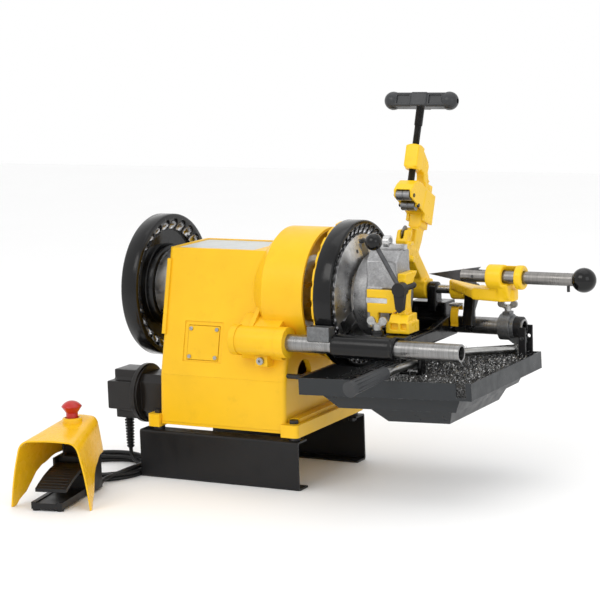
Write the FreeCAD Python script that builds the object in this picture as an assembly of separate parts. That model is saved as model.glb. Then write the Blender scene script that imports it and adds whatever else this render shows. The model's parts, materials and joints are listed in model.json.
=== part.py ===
import FreeCAD, Part
import math
import os

# Pipe threading machine: geared housing with a hammer chuck, two guide tubes, a tool carrier with
# die head, pipe cutter and reamer, an oil tray and a safety foot switch.
# Millimetres. X runs along the spindle towards the tray, -Y is the operator's side, +Z is up.
# The parts are drawn about the spindle's vertical plane and the feet's middle, then moved together
# so that the origin is the middle of the machine's footprint.

V = FreeCAD.Vector
os.makedirs("parts", exist_ok=True)

# ---------------------------------------------------------------- driving dimensions
ORIGIN_X, ORIGIN_Y = 234.3, -142.3      # footprint middle in drawing coordinates
FOOT_LEN, FOOT_OUT_Y, FOOT_H = 374.0, 149.0, 100.0
FOOT_FLANGE, FOOT_T = 38.0, 4.0
BASE_Z0, SEAM_Z, TOP_Z = 120.0, 218.0, 474.0
WALL_X0, WALL_X1 = -140.0, 155.0
HALF_BASE, HALF_SEAM, HALF_TOP = 142.0, 136.0, 76.0
SPINDLE_Z, SPINDLE_R, SPINDLE_BORE_R = 383.0, 63.0, 57.5
BEARING_R = 75.0
HOOD_R, HOOD_X = 133.0, 198.0
TUBE_Y, TUBE_Z, TUBE_R, TUBE_WALL = 150.0, 303.0, 17.5, 4.0
RING_X0, RING_X1, RING_R, PLATE_R = 231.0, 270.0, 149.0, 121.0
REAR_X0, REAR_X1 = -218.0, -180.0
MOTOR_Y, MOTOR_Z = -70.0, 161.0
TOOL_Y, TOOL_Z, TOOL_PIN_R = 135.0, 377.0, 9.0
CUT_X = 330.0
RUN = 0.05                               # radial running clearance
BOLT_X = (-151.0, 169.0)
BOLT_Y = (-128.0, 128.0)
TRAY_X0, TRAY_Z, TRAY_TILT = 206.0, 238.0, 1.8
SWITCH_AT, SWITCH_TURN = (-209.0, -446.0), 11.0
COIL_AT, COIL_R0, COIL_R1, COIL_H = (-284.0, -142.0), 79.0, 97.0, 26.0
CABLE_R = 4.25
RELIEF_X, RELIEF_Z = -263.0, 38.0
GLAND_X, GLAND_Z = 28.0, 11.0
HANG_Z = 229.0                           # height of the tray's two hanging pins

NODES = {}


# ---------------------------------------------------------------- helpers
def box(x0, x1, y0, y1, z0, z1):
    return Part.makeBox(x1 - x0, y1 - y0, z1 - z0, V(x0, y0, z0))


def rod_x(x0, x1, y, z, r):
    return Part.makeCylinder(r, x1 - x0, V(x0, y, z), V(1, 0, 0))


def rod_y(y0, y1, x, z, r):
    return Part.makeCylinder(r, y1 - y0, V(x, y0, z), V(0, 1, 0))


def rod_z(z0, z1, x, y, r):
    return Part.makeCylinder(r, z1 - z0, V(x, y, z0), V(0, 0, 1))


def pipe_x(x0, x1, y, z, ro, ri):
    return rod_x(x0, x1, y, z, ro).cut(rod_x(x0 - 1, x1 + 1, y, z, ri))


def cone_x(x0, x1, y, z, r0, r1):
    return Part.makeCone(r0, r1, x1 - x0, V(x0, y, z), V(1, 0, 0))


def ball(x, y, z, r, axis=(0, 0, 1)):
    return Part.makeSphere(r, V(x, y, z), V(*axis))


def join(shapes):
    shapes = list(shapes)
    out = shapes[0]
    if len(shapes) > 1:
        out = out.fuse(shapes[1:])
    return out.removeSplitter()


def less(shape, cutters):
    return shape.cut(list(cutters))


def prism(points, direction):
    wire = Part.makePolygon(points + [points[0]])
    return Part.Face(wire).extrude(direction)


def prism_x(yz, x0, x1):
    return prism([V(x0, y, z) for y, z in yz], V(x1 - x0, 0, 0))


def prism_y(xz, y0, y1):
    return prism([V(x, y0, z) for x, z in xz], V(0, y1 - y0, 0))


def prism_z(xy, z0, z1):
    return prism([V(x, y, z0) for x, y in xy], V(0, 0, z1 - z0))


def hex_z(x, y, z0, z1, across):
    r = across / math.sqrt(3)
    return prism_z([(x + r * math.cos(math.radians(60 * i)), y + r * math.sin(math.radians(60 * i)))
                    for i in range(6)], z0, z1)


def loft(rings):
    wires = [Part.makePolygon([V(*p) for p in ring] + [V(*ring[0])]) for ring in rings]
    return Part.makeLoft(wires, True, True)


def wall_block(x0, x1, z0, half0, z1, half1):
    return loft([[(x0, -half0, z0), (x1, -half0, z0), (x1, half0, z0), (x0, half0, z0)],
                 [(x0, -half1, z1), (x1, -half1, z1), (x1, half1, z1), (x0, half1, z1)]])


def turned(shape, angle, centre=(0, 0, 0), axis=(1, 0, 0)):
    out = shape.copy()
    out.rotate(V(*centre), V(*axis), angle)
    return out


def rounded(shape, radius, pick):
    edges = [e for e in shape.Edges if pick(e)]
    try:
        out = shape.makeFillet(radius, edges)
        if out.isValid() and out.Volume > 0:
            return out
    except Exception:
        pass
    return shape


def bar(points, r):
    """Round bar through points, with ball joints at its bends."""
    pieces = []
    for a, b in zip(points, points[1:]):
        a, b = V(*a), V(*b)
        pieces.append(Part.makeCylinder(r, (b - a).Length, a, b - a))
    for p in points[1:-1]:
        pieces.append(ball(p[0], p[1], p[2], r))
    return join(pieces)


def bent_rod(points, r, bend):
    """Round bar through points, bent at each inner point with radius bend."""
    pts = [V(*p) for p in points]
    edges = []
    start = pts[0]
    for a, b, c in zip(pts, pts[1:], pts[2:]):
        back, ahead = (a - b).normalize(), (c - b).normalize()
        half = back.getAngle(ahead) / 2
        reach = bend / math.tan(half)
        p, q = b + back * reach, b + ahead * reach
        centre = b + (back + ahead).normalize() * (bend / math.sin(half))
        middle = centre + (b - centre).normalize() * bend
        edges.append(Part.makeLine(start, p))
        edges.append(Part.Arc(p, middle, q).toShape())
        start = q
    edges.append(Part.makeLine(start, pts[-1]))
    ring = Part.Wire([Part.makeCircle(r, pts[0], pts[1] - pts[0])])
    return Part.Wire(edges).makePipeShell([ring], True, False)


def gear_x(x0, x1, y, z, module, teeth, phase, bore):
    """Spur gear about X with involute flanks."""
    pitch_r = module * teeth / 2
    base_r = pitch_r * math.cos(math.radians(20))
    tip_r = pitch_r + 0.9 * module
    root_r = pitch_r - 1.2 * module

    def inv(r):
        if r <= base_r:
            return 0.0
        a = math.acos(base_r / r)
        return math.tan(a) - a

    half = math.pi / (2 * teeth) - 0.12 / pitch_r + inv(pitch_r)
    radii = [max(base_r, root_r) + (tip_r - max(base_r, root_r)) * k / 3 for k in range(4)]
    pts = []
    for t in range(teeth):
        mid = phase + 2 * math.pi * t / teeth
        flank = [(root_r, half)] if root_r < base_r else []
        flank += [(r, half - inv(r)) for r in radii]
        pts += [(r, mid - a) for r, a in flank]
        pts += [(r, mid + a) for r, a in reversed(flank)]
    body = prism_x([(y + r * math.cos(a), z + r * math.sin(a)) for r, a in pts], x0, x1)
    return body.cut(rod_x(x0 - 1, x1 + 1, y, z, bore)) if bore else body


def mirror_y(shape):
    return shape.mirror(V(0, 0, 0), V(0, 1, 0))


def keep(name, shapes):
    if not isinstance(shapes, (list, tuple)):
        shapes = [shapes]
    NODES[name] = shapes


def face_y(z):
    """Front face position of the upper housing at height z."""
    return -HALF_SEAM + (z - SEAM_Z) * (HALF_SEAM - HALF_TOP) / (TOP_Z - SEAM_Z)


# ---------------------------------------------------------------- feet
def foot_channel():
    half = FOOT_LEN / 2
    y0, y1 = -FOOT_OUT_Y, -FOOT_OUT_Y + FOOT_FLANGE
    body = box(-half, half, y0, y1, 0, FOOT_H)
    body = body.cut(box(-half - 1, half + 1, y0 + FOOT_T, y1 + 1, FOOT_T, FOOT_H - FOOT_T))
    body = rounded(body, 5, lambda e: e.Length > 300 and abs(e.CenterOfMass.y - y0) < 0.1)
    holes = [rod_z(FOOT_H - FOOT_T - 1, FOOT_H + 1, x, BOLT_Y[0], 5.5) for x in BOLT_X]
    return less(body, holes)


keep("foot_channels", [foot_channel(), mirror_y(foot_channel())])

# each bolt has its rubber-backed spacer washer and its nut in place
bolts = []
for bx in BOLT_X:
    for by in BOLT_Y:
        bolts.append(join([hex_z(bx, by, 134, 141, 17), rod_z(86, 134, bx, by, 5.2),
                           rod_z(FOOT_H, FOOT_H + 8, bx, by, 12), hex_z(bx, by, 88, FOOT_H - FOOT_T, 17)]))
keep("mounting_bolts", bolts)


# ---------------------------------------------------------------- lower casting
def base_casting():
    outer = wall_block(WALL_X0, WALL_X1, BASE_Z0, HALF_BASE, SEAM_Z, HALF_SEAM)
    outer = rounded(outer, 9, lambda e: abs(e.Vertexes[0].Z - e.Vertexes[1].Z) > 50)
    inner = wall_block(WALL_X0 + 12, WALL_X1 - 10, BASE_Z0 + 6, HALF_BASE - 8, SEAM_Z + 1, HALF_SEAM - 8)
    lug_left = box(-167, WALL_X0 + 2, -149, -111, 108, 134)
    lug_left = rounded(lug_left, 8, lambda e: e.Length < 27 and e.CenterOfMass.x < -160)
    flange = box(WALL_X1 - 3, 187, -149, 149, 108, 134)
    flange = rounded(flange, 9, lambda e: abs(e.Length - 26) < 0.1 and e.CenterOfMass.x > 180)
    step = box(WALL_X1 - 3, 176, -126, 126, 134, 142)
    sill = box(WALL_X0 + 4, WALL_X1 - 2, -141, 141, 114, BASE_Z0 + 2)
    corner = box(149, 157, -149, -135, 108, 134)
    body = join([outer, lug_left, mirror_y(lug_left), flange, step, sill, corner, mirror_y(corner)])
    cuts = [inner, rod_x(WALL_X0 - 1, WALL_X0 + 13, MOTOR_Y, MOTOR_Z, 40)]
    for bx in BOLT_X:
        for by in BOLT_Y:
            cuts.append(rod_z(100, 134, bx, by, 5.5))
            cuts.append(rod_z(134, 160, bx, by, 12))
    return less(body, cuts)


keep("base_casting", base_casting())


# ---------------------------------------------------------------- upper housing with hood and bosses
def lean_block(x0, x1, z0, z1, depth, out=0.0):
    """Plate lying on the sloping front face, depth deep into it."""
    pts = [(face_y(z0) - out, z0), (face_y(z0) + depth, z0), (face_y(z1) + depth, z1), (face_y(z1) - out, z1)]
    return prism_x(pts, x0, x1)


COVER = (-79.0, -4.0, 250.0, 320.0)


def gear_housing():
    shell = wall_block(WALL_X0, WALL_X1, SEAM_Z, HALF_SEAM, TOP_Z, HALF_TOP)
    shell = rounded(shell, 9, lambda e: abs(e.Vertexes[0].Z - e.Vertexes[1].Z) > 100)
    hood = join([cone_x(68, 106, 0, SPINDLE_Z, 96, HOOD_R), rod_x(106, HOOD_X, 0, SPINDLE_Z, HOOD_R)])
    hood = hood.cut(box(60, 210, -140, 140, 200, SEAM_Z))
    boss = join([rod_x(52, 166, -TUBE_Y, TUBE_Z, 29), rod_x(52, 66, -TUBE_Y, TUBE_Z, 31),
                 rod_x(156, 176, -TUBE_Y, TUBE_Z, 31)])
    web = prism_x([(-150, 276), (-150, 329), (-110, 352), (-95, 352), (-95, 262), (-132, 262)], 60, 152)
    gusset = prism_x([(-150, 330), (-104, 372), (-92, 372), (-92, 330)], 84, 94)
    lug = rounded(box(98, 126, -152, -118, 250, 276), 5,
                  lambda e: abs(e.Length - 28) < 0.1 and e.CenterOfMass.y < -150)
    bulge = prism_x([(face_y(300) - 5, 300), (face_y(300) + 2, 300), (face_y(452) + 2, 452),
                     (face_y(452) - 5, 452)], WALL_X0 + 0.5, WALL_X0 + 9)
    sides = [boss, web, gusset, lug]
    body = join([shell, hood, bulge] + sides + [mirror_y(s) for s in sides])
    cavity = wall_block(WALL_X0 + 12, WALL_X1 - 12, SEAM_Z - 1, HALF_SEAM - 8, TOP_Z - 9, HALF_TOP - 6)
    cuts = [cavity, rod_x(WALL_X1, HOOD_X + 1, 0, SPINDLE_Z, HOOD_R - 6),
            rod_x(WALL_X0 - 1, WALL_X1 + 1, 0, SPINDLE_Z, BEARING_R),
            box(-130, 58, -HALF_TOP + 9, HALF_TOP - 9, TOP_Z - 4, TOP_Z + 1),
            rod_x(WALL_X1 - 13, WALL_X1 + 1, -52, SEAM_Z + 3, 30),
            lean_block(COVER[0] - 8, COVER[1] + 8, COVER[2] - 3, COVER[3] + 8, 2.0, 8),
            lean_block(COVER[0], COVER[1], COVER[2], COVER[3], 5.0, 8)]
    for side in (-1, 1):
        cuts.append(rod_x(62, 190, side * TUBE_Y, TUBE_Z, TUBE_R))
        cuts.append(rod_x(148, 156, side * 122, HANG_Z, 5))
        cuts.append(rod_y(-153, -132, 112, 263, 4) if side < 0 else rod_y(132, 153, 112, 263, 4))
    idler_boss = rod_x(WALL_X0 + 10, WALL_X0 + 20, IDLER[0], IDLER[1], 18)
    body = less(body, cuts)
    body = join([body, idler_boss])
    return less(body, [rod_x(WALL_X0 + 3, WALL_X0 + 21, IDLER[0], IDLER[1], 10 + RUN),
                       rod_x(WALL_X0 - 1, WALL_X0 + 30, 0, SPINDLE_Z, BEARING_R)])


# gear train: motor pinion -> idler wheel and idler pinion on one shaft -> spindle wheel
MODULE, Z_PINION, Z_WHEEL, Z_SMALL, Z_SPINDLE = 2.5, 13, 59, 55, 60


def idler_position():
    r1 = MODULE * (Z_PINION + Z_WHEEL) / 2
    r2 = MODULE * (Z_SMALL + Z_SPINDLE) / 2
    dy, dz = -MOTOR_Y, SPINDLE_Z - MOTOR_Z
    d = math.hypot(dy, dz)
    a = (r1 * r1 - r2 * r2 + d * d) / (2 * d)
    h = math.sqrt(max(r1 * r1 - a * a, 0.0))
    uy, uz = dy / d, dz / d
    return MOTOR_Y + a * uy + h * uz, MOTOR_Z + a * uz - h * uy


IDLER = idler_position()


def phase_pair(y0, z0, y1, z1, teeth):
    """Tooth phases that put a tooth of the first gear into a gap of the second, which has that many teeth."""
    line = math.atan2(z1 - z0, y1 - y0)
    return line, line + math.pi + math.pi / teeth


keep("gear_housing", gear_housing())
keep("top_panel", box(-130, 58, -HALF_TOP + 9, HALF_TOP - 9, TOP_Z - 4, TOP_Z - 2))
cover = lean_block(COVER[0] + 1, COVER[1] - 1, COVER[2] + 1, COVER[3] - 1, 5.0, -1.0)
cover_screws = []
for cx in (COVER[0] + 7, COVER[1] - 7):
    for cz in (COVER[2] + 7, COVER[3] - 7):
        lean = math.degrees(math.atan2(HALF_SEAM - HALF_TOP, TOP_Z - SEAM_Z))
        shank = turned(rod_y(-1, 5, cx, 0, 2.2), -lean)
        head = turned(rod_y(-1.5, 1, cx, 0, 4), -lean)
        for s in (shank, head):
            s.translate(V(0, face_y(cz), cz))
        cover_screws.append(join([head, shank]).common(lean_block(-90, 10, 240, 330, 5.0, 8)))
cover = less(cover, cover_screws)
keep("access_cover", cover)

# ---------------------------------------------------------------- guide tubes and their clamps
keep("front_guide_tube", pipe_x(62, 550, -TUBE_Y, TUBE_Z, TUBE_R, TUBE_R - TUBE_WALL))
keep("rear_guide_tube", pipe_x(62, 556, TUBE_Y, TUBE_Z, TUBE_R, TUBE_R - TUBE_WALL))
clamp_screws = []
for side in (-1, 1):
    screw = join([rod_y(-159, -152, 112, 263, 7.5), rod_y(-152, -132, 112, 263, 4)])
    hexagon = [(112 + 3.5 * math.cos(k * math.pi / 3), 263 + 3.5 * math.sin(k * math.pi / 3)) for k in range(6)]
    screw = less(screw, [prism_y(hexagon, -160, -155)])
    clamp_screws.append(screw if side < 0 else mirror_y(screw))
keep("housing_screws", cover_screws + clamp_screws)
saddle = box(226, 275, -168, -132, TUBE_Z + 8, TUBE_Z + 38)
saddle = less(saddle, [rod_x(220, 280, -TUBE_Y, TUBE_Z, TUBE_R), rod_x(220, 280, 0, SPINDLE_Z, RING_R + 2)])
keep("stop_saddle", saddle)

# ---------------------------------------------------------------- motor
motor = prism_x([(-40, -30), (-27, -45), (30, -45), (45, -30), (45, 30), (30, 45), (-27, 45), (-40, 30)],
                -205, WALL_X0)
motor.translate(V(0, MOTOR_Y, MOTOR_Z))
motor = join([motor, rod_x(WALL_X0, WALL_X0 + 12, MOTOR_Y, MOTOR_Z, 40),
              rod_x(WALL_X0 + 12, WALL_X0 + 18, MOTOR_Y, MOTOR_Z, 24)])
motor = less(motor, [rod_x(-206, -146, MOTOR_Y, MOTOR_Z, 33), rod_x(-150, -120, MOTOR_Y, MOTOR_Z, 8 + RUN)])
ring = join([rod_x(-222, -205, MOTOR_Y, MOTOR_Z, 59), rod_x(-218, -209, MOTOR_Y, MOTOR_Z, 62.5)])
keep("motor_body", join([motor, less(ring, [rod_x(-223, -204, MOTOR_Y, MOTOR_Z, 8 + RUN)])]))
lobes = [box(-276, -222, MOTOR_Y - 30, MOTOR_Y + 30, MOTOR_Z - 52, MOTOR_Z + 52),
         box(-283, -222, MOTOR_Y - 50, MOTOR_Y + 50, MOTOR_Z - 30, MOTOR_Z + 30)]
cap = join([rod_x(-270, -222, MOTOR_Y, MOTOR_Z, 47)] + lobes)
cap = rounded(cap, 4, lambda e: e.CenterOfMass.x < -262 and e.Length > 20)
cap = less(cap, [rod_x(-262, -221, MOTOR_Y, MOTOR_Z, 30)])
p_line, i_phase = phase_pair(MOTOR_Y, MOTOR_Z, IDLER[0], IDLER[1], Z_WHEEL)
rotor = join([rod_x(-200, -152, MOTOR_Y, MOTOR_Z, 29), rod_x(-236, -100, MOTOR_Y, MOTOR_Z, 8)])
rotor = join([rotor, gear_x(-118, -100, MOTOR_Y, MOTOR_Z, MODULE, Z_PINION, p_line, 0)])
keep("motor_rotor", rotor)
cap_screws = []
for sy in (-22, 22):
    for sz in (-41, 41):
        cap_screws.append(rod_x(-279, -276, MOTOR_Y + sy, MOTOR_Z + sz, 3.5))
keep("motor_end_cap", join([cap] + cap_screws))

# strain relief under the motor cap: collar, then a ribbed taper
relief = [rod_z(88, MOTOR_Z - 52, RELIEF_X, MOTOR_Y, 10),
          Part.makeCone(5.6, 8.5, 88 - RELIEF_Z, V(RELIEF_X, MOTOR_Y, RELIEF_Z), V(0, 0, 1))]
for k in range(7):
    relief.append(rod_z(41 + 6.6 * k, 44.3 + 6.6 * k, RELIEF_X, MOTOR_Y, 8.2 + 0.35 * k))
keep("motor_strain_relief", join(relief))

# ---------------------------------------------------------------- spindle and gears
i_line, s_phase = phase_pair(IDLER[0], IDLER[1], 0, SPINDLE_Z, Z_SPINDLE)
idler = join([gear_x(-119, -99, IDLER[0], IDLER[1], MODULE, Z_WHEEL, i_phase, 0),
              gear_x(-93, -67, IDLER[0], IDLER[1], MODULE, Z_SMALL, i_line, 0),
              rod_x(-99, -93, IDLER[0], IDLER[1], 30), rod_x(WALL_X0 + 3, -60, IDLER[0], IDLER[1], 10)])
keep("idler_gear", idler)
spindle_gear = gear_x(-92, -68, 0, SPINDLE_Z, MODULE, Z_SPINDLE, s_phase, SPINDLE_R)
rear_hub = pipe_x(REAR_X1 + 1, WALL_X0 - 1, 0, SPINDLE_Z, 78, SPINDLE_R)
spindle = join([pipe_x(-213, 250, 0, SPINDLE_Z, SPINDLE_R, SPINDLE_BORE_R), spindle_gear, rear_hub])
keep("spindle_bearings", [pipe_x(WALL_X0, WALL_X0 + 12, 0, SPINDLE_Z, BEARING_R, SPINDLE_R + RUN),
                          pipe_x(WALL_X1 - 12, WALL_X1, 0, SPINDLE_Z, BEARING_R, SPINDLE_R + RUN)])

# three jaw directions of both chucks; the rear jaws also pass through slots in the spindle's end
JAW_ANGLES = (90.0, 210.0, 330.0)


def about_spindle(shape, angle):
    return turned(shape, angle - 90.0, (0, 0, SPINDLE_Z))


plate_slot = box(REAR_X0, REAR_X0 + 12, -12 - RUN, 12 + RUN, SPINDLE_Z + 50, SPINDLE_Z + 106)
plate_slots = [about_spindle(plate_slot, a) for a in JAW_ANGLES]
keep("spindle_tube", less(spindle, plate_slots))

# ---------------------------------------------------------------- hammer chuck at the front
chuck = join([rod_x(205, RING_X0 - 5, 0, SPINDLE_Z, 84), rod_x(RING_X0 - 5, RING_X0 - 0.5, 0, SPINDLE_Z, 124),
              rod_x(RING_X0 - 0.5, 266, 0, SPINDLE_Z, PLATE_R), cone_x(266, 279, 0, SPINDLE_Z, PLATE_R, 76)])
chuck_cuts = [rod_x(200, 250, 0, SPINDLE_Z, SPINDLE_R), rod_x(249, 290, 0, SPINDLE_Z, SPINDLE_BORE_R)]
for a in JAW_ANGLES:
    chuck_cuts.append(about_spindle(box(256, 281, -14 - RUN, 14 + RUN, SPINDLE_Z + 50, SPINDLE_Z + 112), a))
    chuck_cuts.append(about_spindle(rod_x(262, 281, 30, SPINDLE_Z + 90, 4), a))
    chuck_cuts.append(about_spindle(rod_x(262, 281, -30, SPINDLE_Z + 90, 4), a))
keep("chuck_body", less(chuck, chuck_cuts))
for number, a in enumerate(JAW_ANGLES, 1):
    jaw = box(256 + RUN, 275, -14, 14, SPINDLE_Z + 66, SPINDLE_Z + 104)
    teeth = [box(255, 276, -14 + 7 * k, -10.5 + 7 * k, SPINDLE_Z + 65, SPINDLE_Z + 68) for k in range(1, 4)]
    keep("chuck_jaw_%d" % number, about_spindle(less(jaw, teeth), a))
ring = rod_x(RING_X0, RING_X1, 0, SPINDLE_Z, RING_R)
ring = rounded(ring, 3, lambda e: e.Length > 800)
ring_cuts = [rod_x(RING_X0 - 1, RING_X1 + 1, 0, SPINDLE_Z, PLATE_R + RUN),
             cone_x(261, RING_X1 + 0.01, 0, SPINDLE_Z, PLATE_R, 141)]
for k in range(28):
    ring_cuts.append(turned(ball(267, 0, SPINDLE_Z + 132, 8.5), 360.0 / 28 * k, (0, 0, SPINDLE_Z)))
keep("chuck_ring", less(ring, ring_cuts))
guard = pipe_x(RING_X0 - 4.4, RING_X0, 0, SPINDLE_Z, 147, 125)
notches = [turned(rod_x(RING_X0 - 5, RING_X0 + 1, 0, SPINDLE_Z + 152, 9), 15.0 * k, (0, 0, SPINDLE_Z))
           for k in range(24)]
keep("chuck_rear_disc", less(guard, notches))

# ---------------------------------------------------------------- centring chuck at the back
wheel = join([rounded(rod_x(REAR_X0, REAR_X1, 0, SPINDLE_Z, 150), 4, lambda e: e.Length > 800)])
wheel_cuts = [rod_x(REAR_X0 - 1, REAR_X1 + 1, 0, SPINDLE_Z, SPINDLE_R + RUN),
              rod_x(REAR_X0 - 1, REAR_X0 + 12, 0, SPINDLE_Z, 120),
              rod_x(REAR_X1 - 16, REAR_X1 + 1, 0, SPINDLE_Z, 118),
              cone_x(REAR_X1 - 9, REAR_X1 + 0.01, 0, SPINDLE_Z, 117, 139)]
for k in range(26):
    wheel_cuts.append(turned(ball(REAR_X1 - 3, 0, SPINDLE_Z + 129, 9), 360.0 / 26 * k, (0, 0, SPINDLE_Z)))
wheel_ribs = [turned(box(REAR_X1 - 17, REAR_X1 - 4, -3, 3, SPINDLE_Z + 82, SPINDLE_Z + 119), 30.0 * k,
                     (0, 0, SPINDLE_Z)) for k in range(12)]
wheel_hub = pipe_x(REAR_X0 + 12, REAR_X1, 0, SPINDLE_Z, 86, SPINDLE_R + RUN)
wheel = join([less(wheel, wheel_cuts), wheel_hub] + wheel_ribs)
keep("rear_wheel", wheel)
plate = join([pipe_x(REAR_X0 + 2, REAR_X0 + 11.5, 0, SPINDLE_Z, 112, SPINDLE_R)])
keep("rear_jaw_plate", less(plate, plate_slots))
for number, a in enumerate(JAW_ANGLES, 1):
    jaw = box(REAR_X0 + 2.5, REAR_X0 + 11, -12, 12, SPINDLE_Z + 68, SPINDLE_Z + 100)
    keep("rear_jaw_%d" % number, about_spindle(jaw, a))

# ---------------------------------------------------------------- oil tray
def tray_box(x0, x1, y0, y1, z):
    return [(x0, y0, z), (x1, y0, z), (x1, y1, z), (x0, y1, z)]


def tray_volume(gap, top=0.0):
    """Two-step tub in level coordinates, shrunk by gap on every side and at its bottom."""
    g = gap
    rim = box(TRAY_X0 + g, 578 - g, -172 + g, 182 - g, -34 + g, top)
    upper = loft([tray_box(250 + g, 548 - g, -160 + g, 170 - g, -34 + g),
                  tray_box(282 + g, 534 - g, -150 + g, 160 - g, -62 + g)])
    lower = loft([tray_box(342 + g, 520 - g, -138 + g, 148 - g, -62 + g),
                  tray_box(372 + g, 504 - g, -116 + g, 126 - g, -92 + g)])
    return join([rim, upper, lower])


def tilt(shape):
    out = shape.copy()
    out.translate(V(0, 0, TRAY_Z))
    return turned(out, -TRAY_TILT, (TRAY_X0, 0, TRAY_Z), (0, 1, 0))


inside = tray_volume(3.0, 1.0)
tray = tray_volume(0.0).cut(inside)
tray = tray.cut(box(546, 566, -176, -168, -28, 1))
lip = box(TRAY_X0 - 4, TRAY_X0, -172, 182, -3, 0)
tray = join([tray, lip])
hooks = [box(196, TRAY_X0 + 1, side * 122 - 12, side * 122 + 12, -34, 0) for side in (-1, 1)]
pins = [rod_x(148, 203, side * 122, HANG_Z, 5) for side in (-1, 1)]
keep("oil_tray", join([tilt(join([tray] + hooks))] + pins))
fill_top = -9.0
swarf = inside.common(box(404, 580, -175, 185, -95, fill_top))
slope = prism_y([(360, -30), (404, fill_top), (404, -95), (360, -95)], -175, 185)
swarf = join([swarf, inside.common(slope)])
keep("swarf_bed", tilt(swarf))
screen = box(TRAY_X0 + 3, 359.9, -169, 179, -31, -28.5)
screen = less(screen, [rod_z(-33, -20, 318, -90, 21)])
slots = [box(232 + 11 * k, 238 + 11 * k, -60 + 75 * j, 75 * j, -33, -26) for k in range(9) for j in range(3)]
strainer = [rod_z(-59, -26, 318, -90, 21), rod_z(-26, -23, 318, -90, 24)]
strainer = less(join(strainer), [rod_z(-24.5, -20, 318, -90, 6)])
grooves = [less(rod_z(-26, -22, 318, -90, r + 1.6), [rod_z(-27, -21, 318, -90, r)]) for r in (10, 15, 20)]
strainer = less(strainer, [g.common(box(290, 345, -120, -60, -24.3, -22)) for g in grooves])
keep("chip_screen", [tilt(less(screen, slots)), tilt(strainer)])

# ---------------------------------------------------------------- tool carrier on the guide tubes
CARRIER_TOP = 312.0


def tool_carrier():
    front = join([rod_x(278, 414, -TUBE_Y, TUBE_Z, 23.5), rod_x(408, 414, -TUBE_Y, TUBE_Z, 25)])
    rear = rod_x(312, 396, TUBE_Y, TUBE_Z, 25)
    arm = box(392, 410, -150, 150, 284, CARRIER_TOP)
    rise = prism_x([(20, CARRIER_TOP - 1), (110, 326), (150, 326), (150, CARRIER_TOP - 1)], 392, 410)
    arm_left = box(318, 334, -150, 150, 284, CARRIER_TOP - 6)
    floor = box(330, 396, -132, 132, 284, 288)
    rib_outline = [(334, 288), (340, 288), (392, 306), (392, 312), (386, 312)]
    ribs = [prism_y(rib_outline, y, y + 6) for y in (-72, 0, 66)]
    back = box(314, 394, 122, 172, 303, 351)
    pocket = box(326, 382, 121, 128, 316, 342)
    foot = box(364, 424, -138, -104, 300, 324)
    screw_lug = rod_z(300, 334, 360, -124, 13)
    lugs = []
    for x0, x1, foot_pts in ((354, 374, [(118, 330), (152, 330)]),
                             (438, 462, [(100, 308), (121, 308), (121, 338), (141, 360)])):
        post = prism_x(foot_pts + [(TOOL_Y + 15, TOOL_Z), (TOOL_Y - 15, TOOL_Z)], x0, x1)
        lugs.append(join([rod_x(x0, x1, TOOL_Y, TOOL_Z, 15), post]))
    outrigger = box(394, 462, 110, 121, 304, 326)
    left_post = prism_x([(122, 318), (150, 318), (TOOL_Y + 14, TOOL_Z), (TOOL_Y - 14, TOOL_Z)], 272, 284)
    left_lug = join([rod_x(272, 284, TOOL_Y, TOOL_Z, 14), left_post, box(272, 316, 122, 150, 318, 346)])
    prong_a = box(391, 399, -98, -76, 247, 290)
    prong_b = box(431, 440, -98, -76, 247, 290)
    prong_c = box(391, 440, -98, -76, 243, 249)
    prong_d = box(391, 440, -98, -76, 284, 300)
    body = join([front, rear, arm, rise, arm_left, floor, back, outrigger, left_lug, foot, screw_lug,
                 prong_a, prong_b, prong_c, prong_d] + ribs + lugs)
    cuts = [rod_x(270, 470, -TUBE_Y, TUBE_Z, TUBE_R + RUN), rod_x(270, 480, TUBE_Y, TUBE_Z, TUBE_R + RUN),
            rod_x(270, 480, TOOL_Y, TOOL_Z, TOOL_PIN_R), pocket,
            rod_z(299, 340, 360, -124, 5 + RUN)]
    return less(body, cuts)


keep("tool_carrier", tool_carrier())
keep("tool_pin", join([rod_x(272, 468, TOOL_Y, TOOL_Z, TOOL_PIN_R), rod_x(468, 474, TOOL_Y, TOOL_Z, 12)]))
cover_band = less(rod_x(412, 428, 147, 322, 42), [rod_x(411, 429, 147, 322, 38)])
cover_band = cover_band.common(box(411, 429, 90, 122, 306, 352))
cover_band = join([cover_band, box(412, 428, 105, 122, 306, 310)])
bracket = join([box(409, 432, 106, 124, 348, 352), box(409, 432, 122, 126, 338, 352)])
keep("carrier_guard", less(join([cover_band, bracket]), [box(394, 462, 110, 121, 304, 326)]))

# wing screw that holds the die head down
wing = [rod_z(301, 346, 360, -124, 5), rod_z(334.2, 346, 360, -124, 9)]
for side in (-1, 1):
    lobe = Part.makeCylinder(8.5, 5, V(360, -126.5, 352), V(0, 1, 0))
    lobe.translate(V(side * 13, 0, 0))
    arm = prism_y([(360, 337), (360, 346), (360 + side * 12, 358), (360 + side * 18, 346)], -126.5, -121.5)
    wing += [lobe, arm]
keep("die_wing_screw", join(wing))


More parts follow.
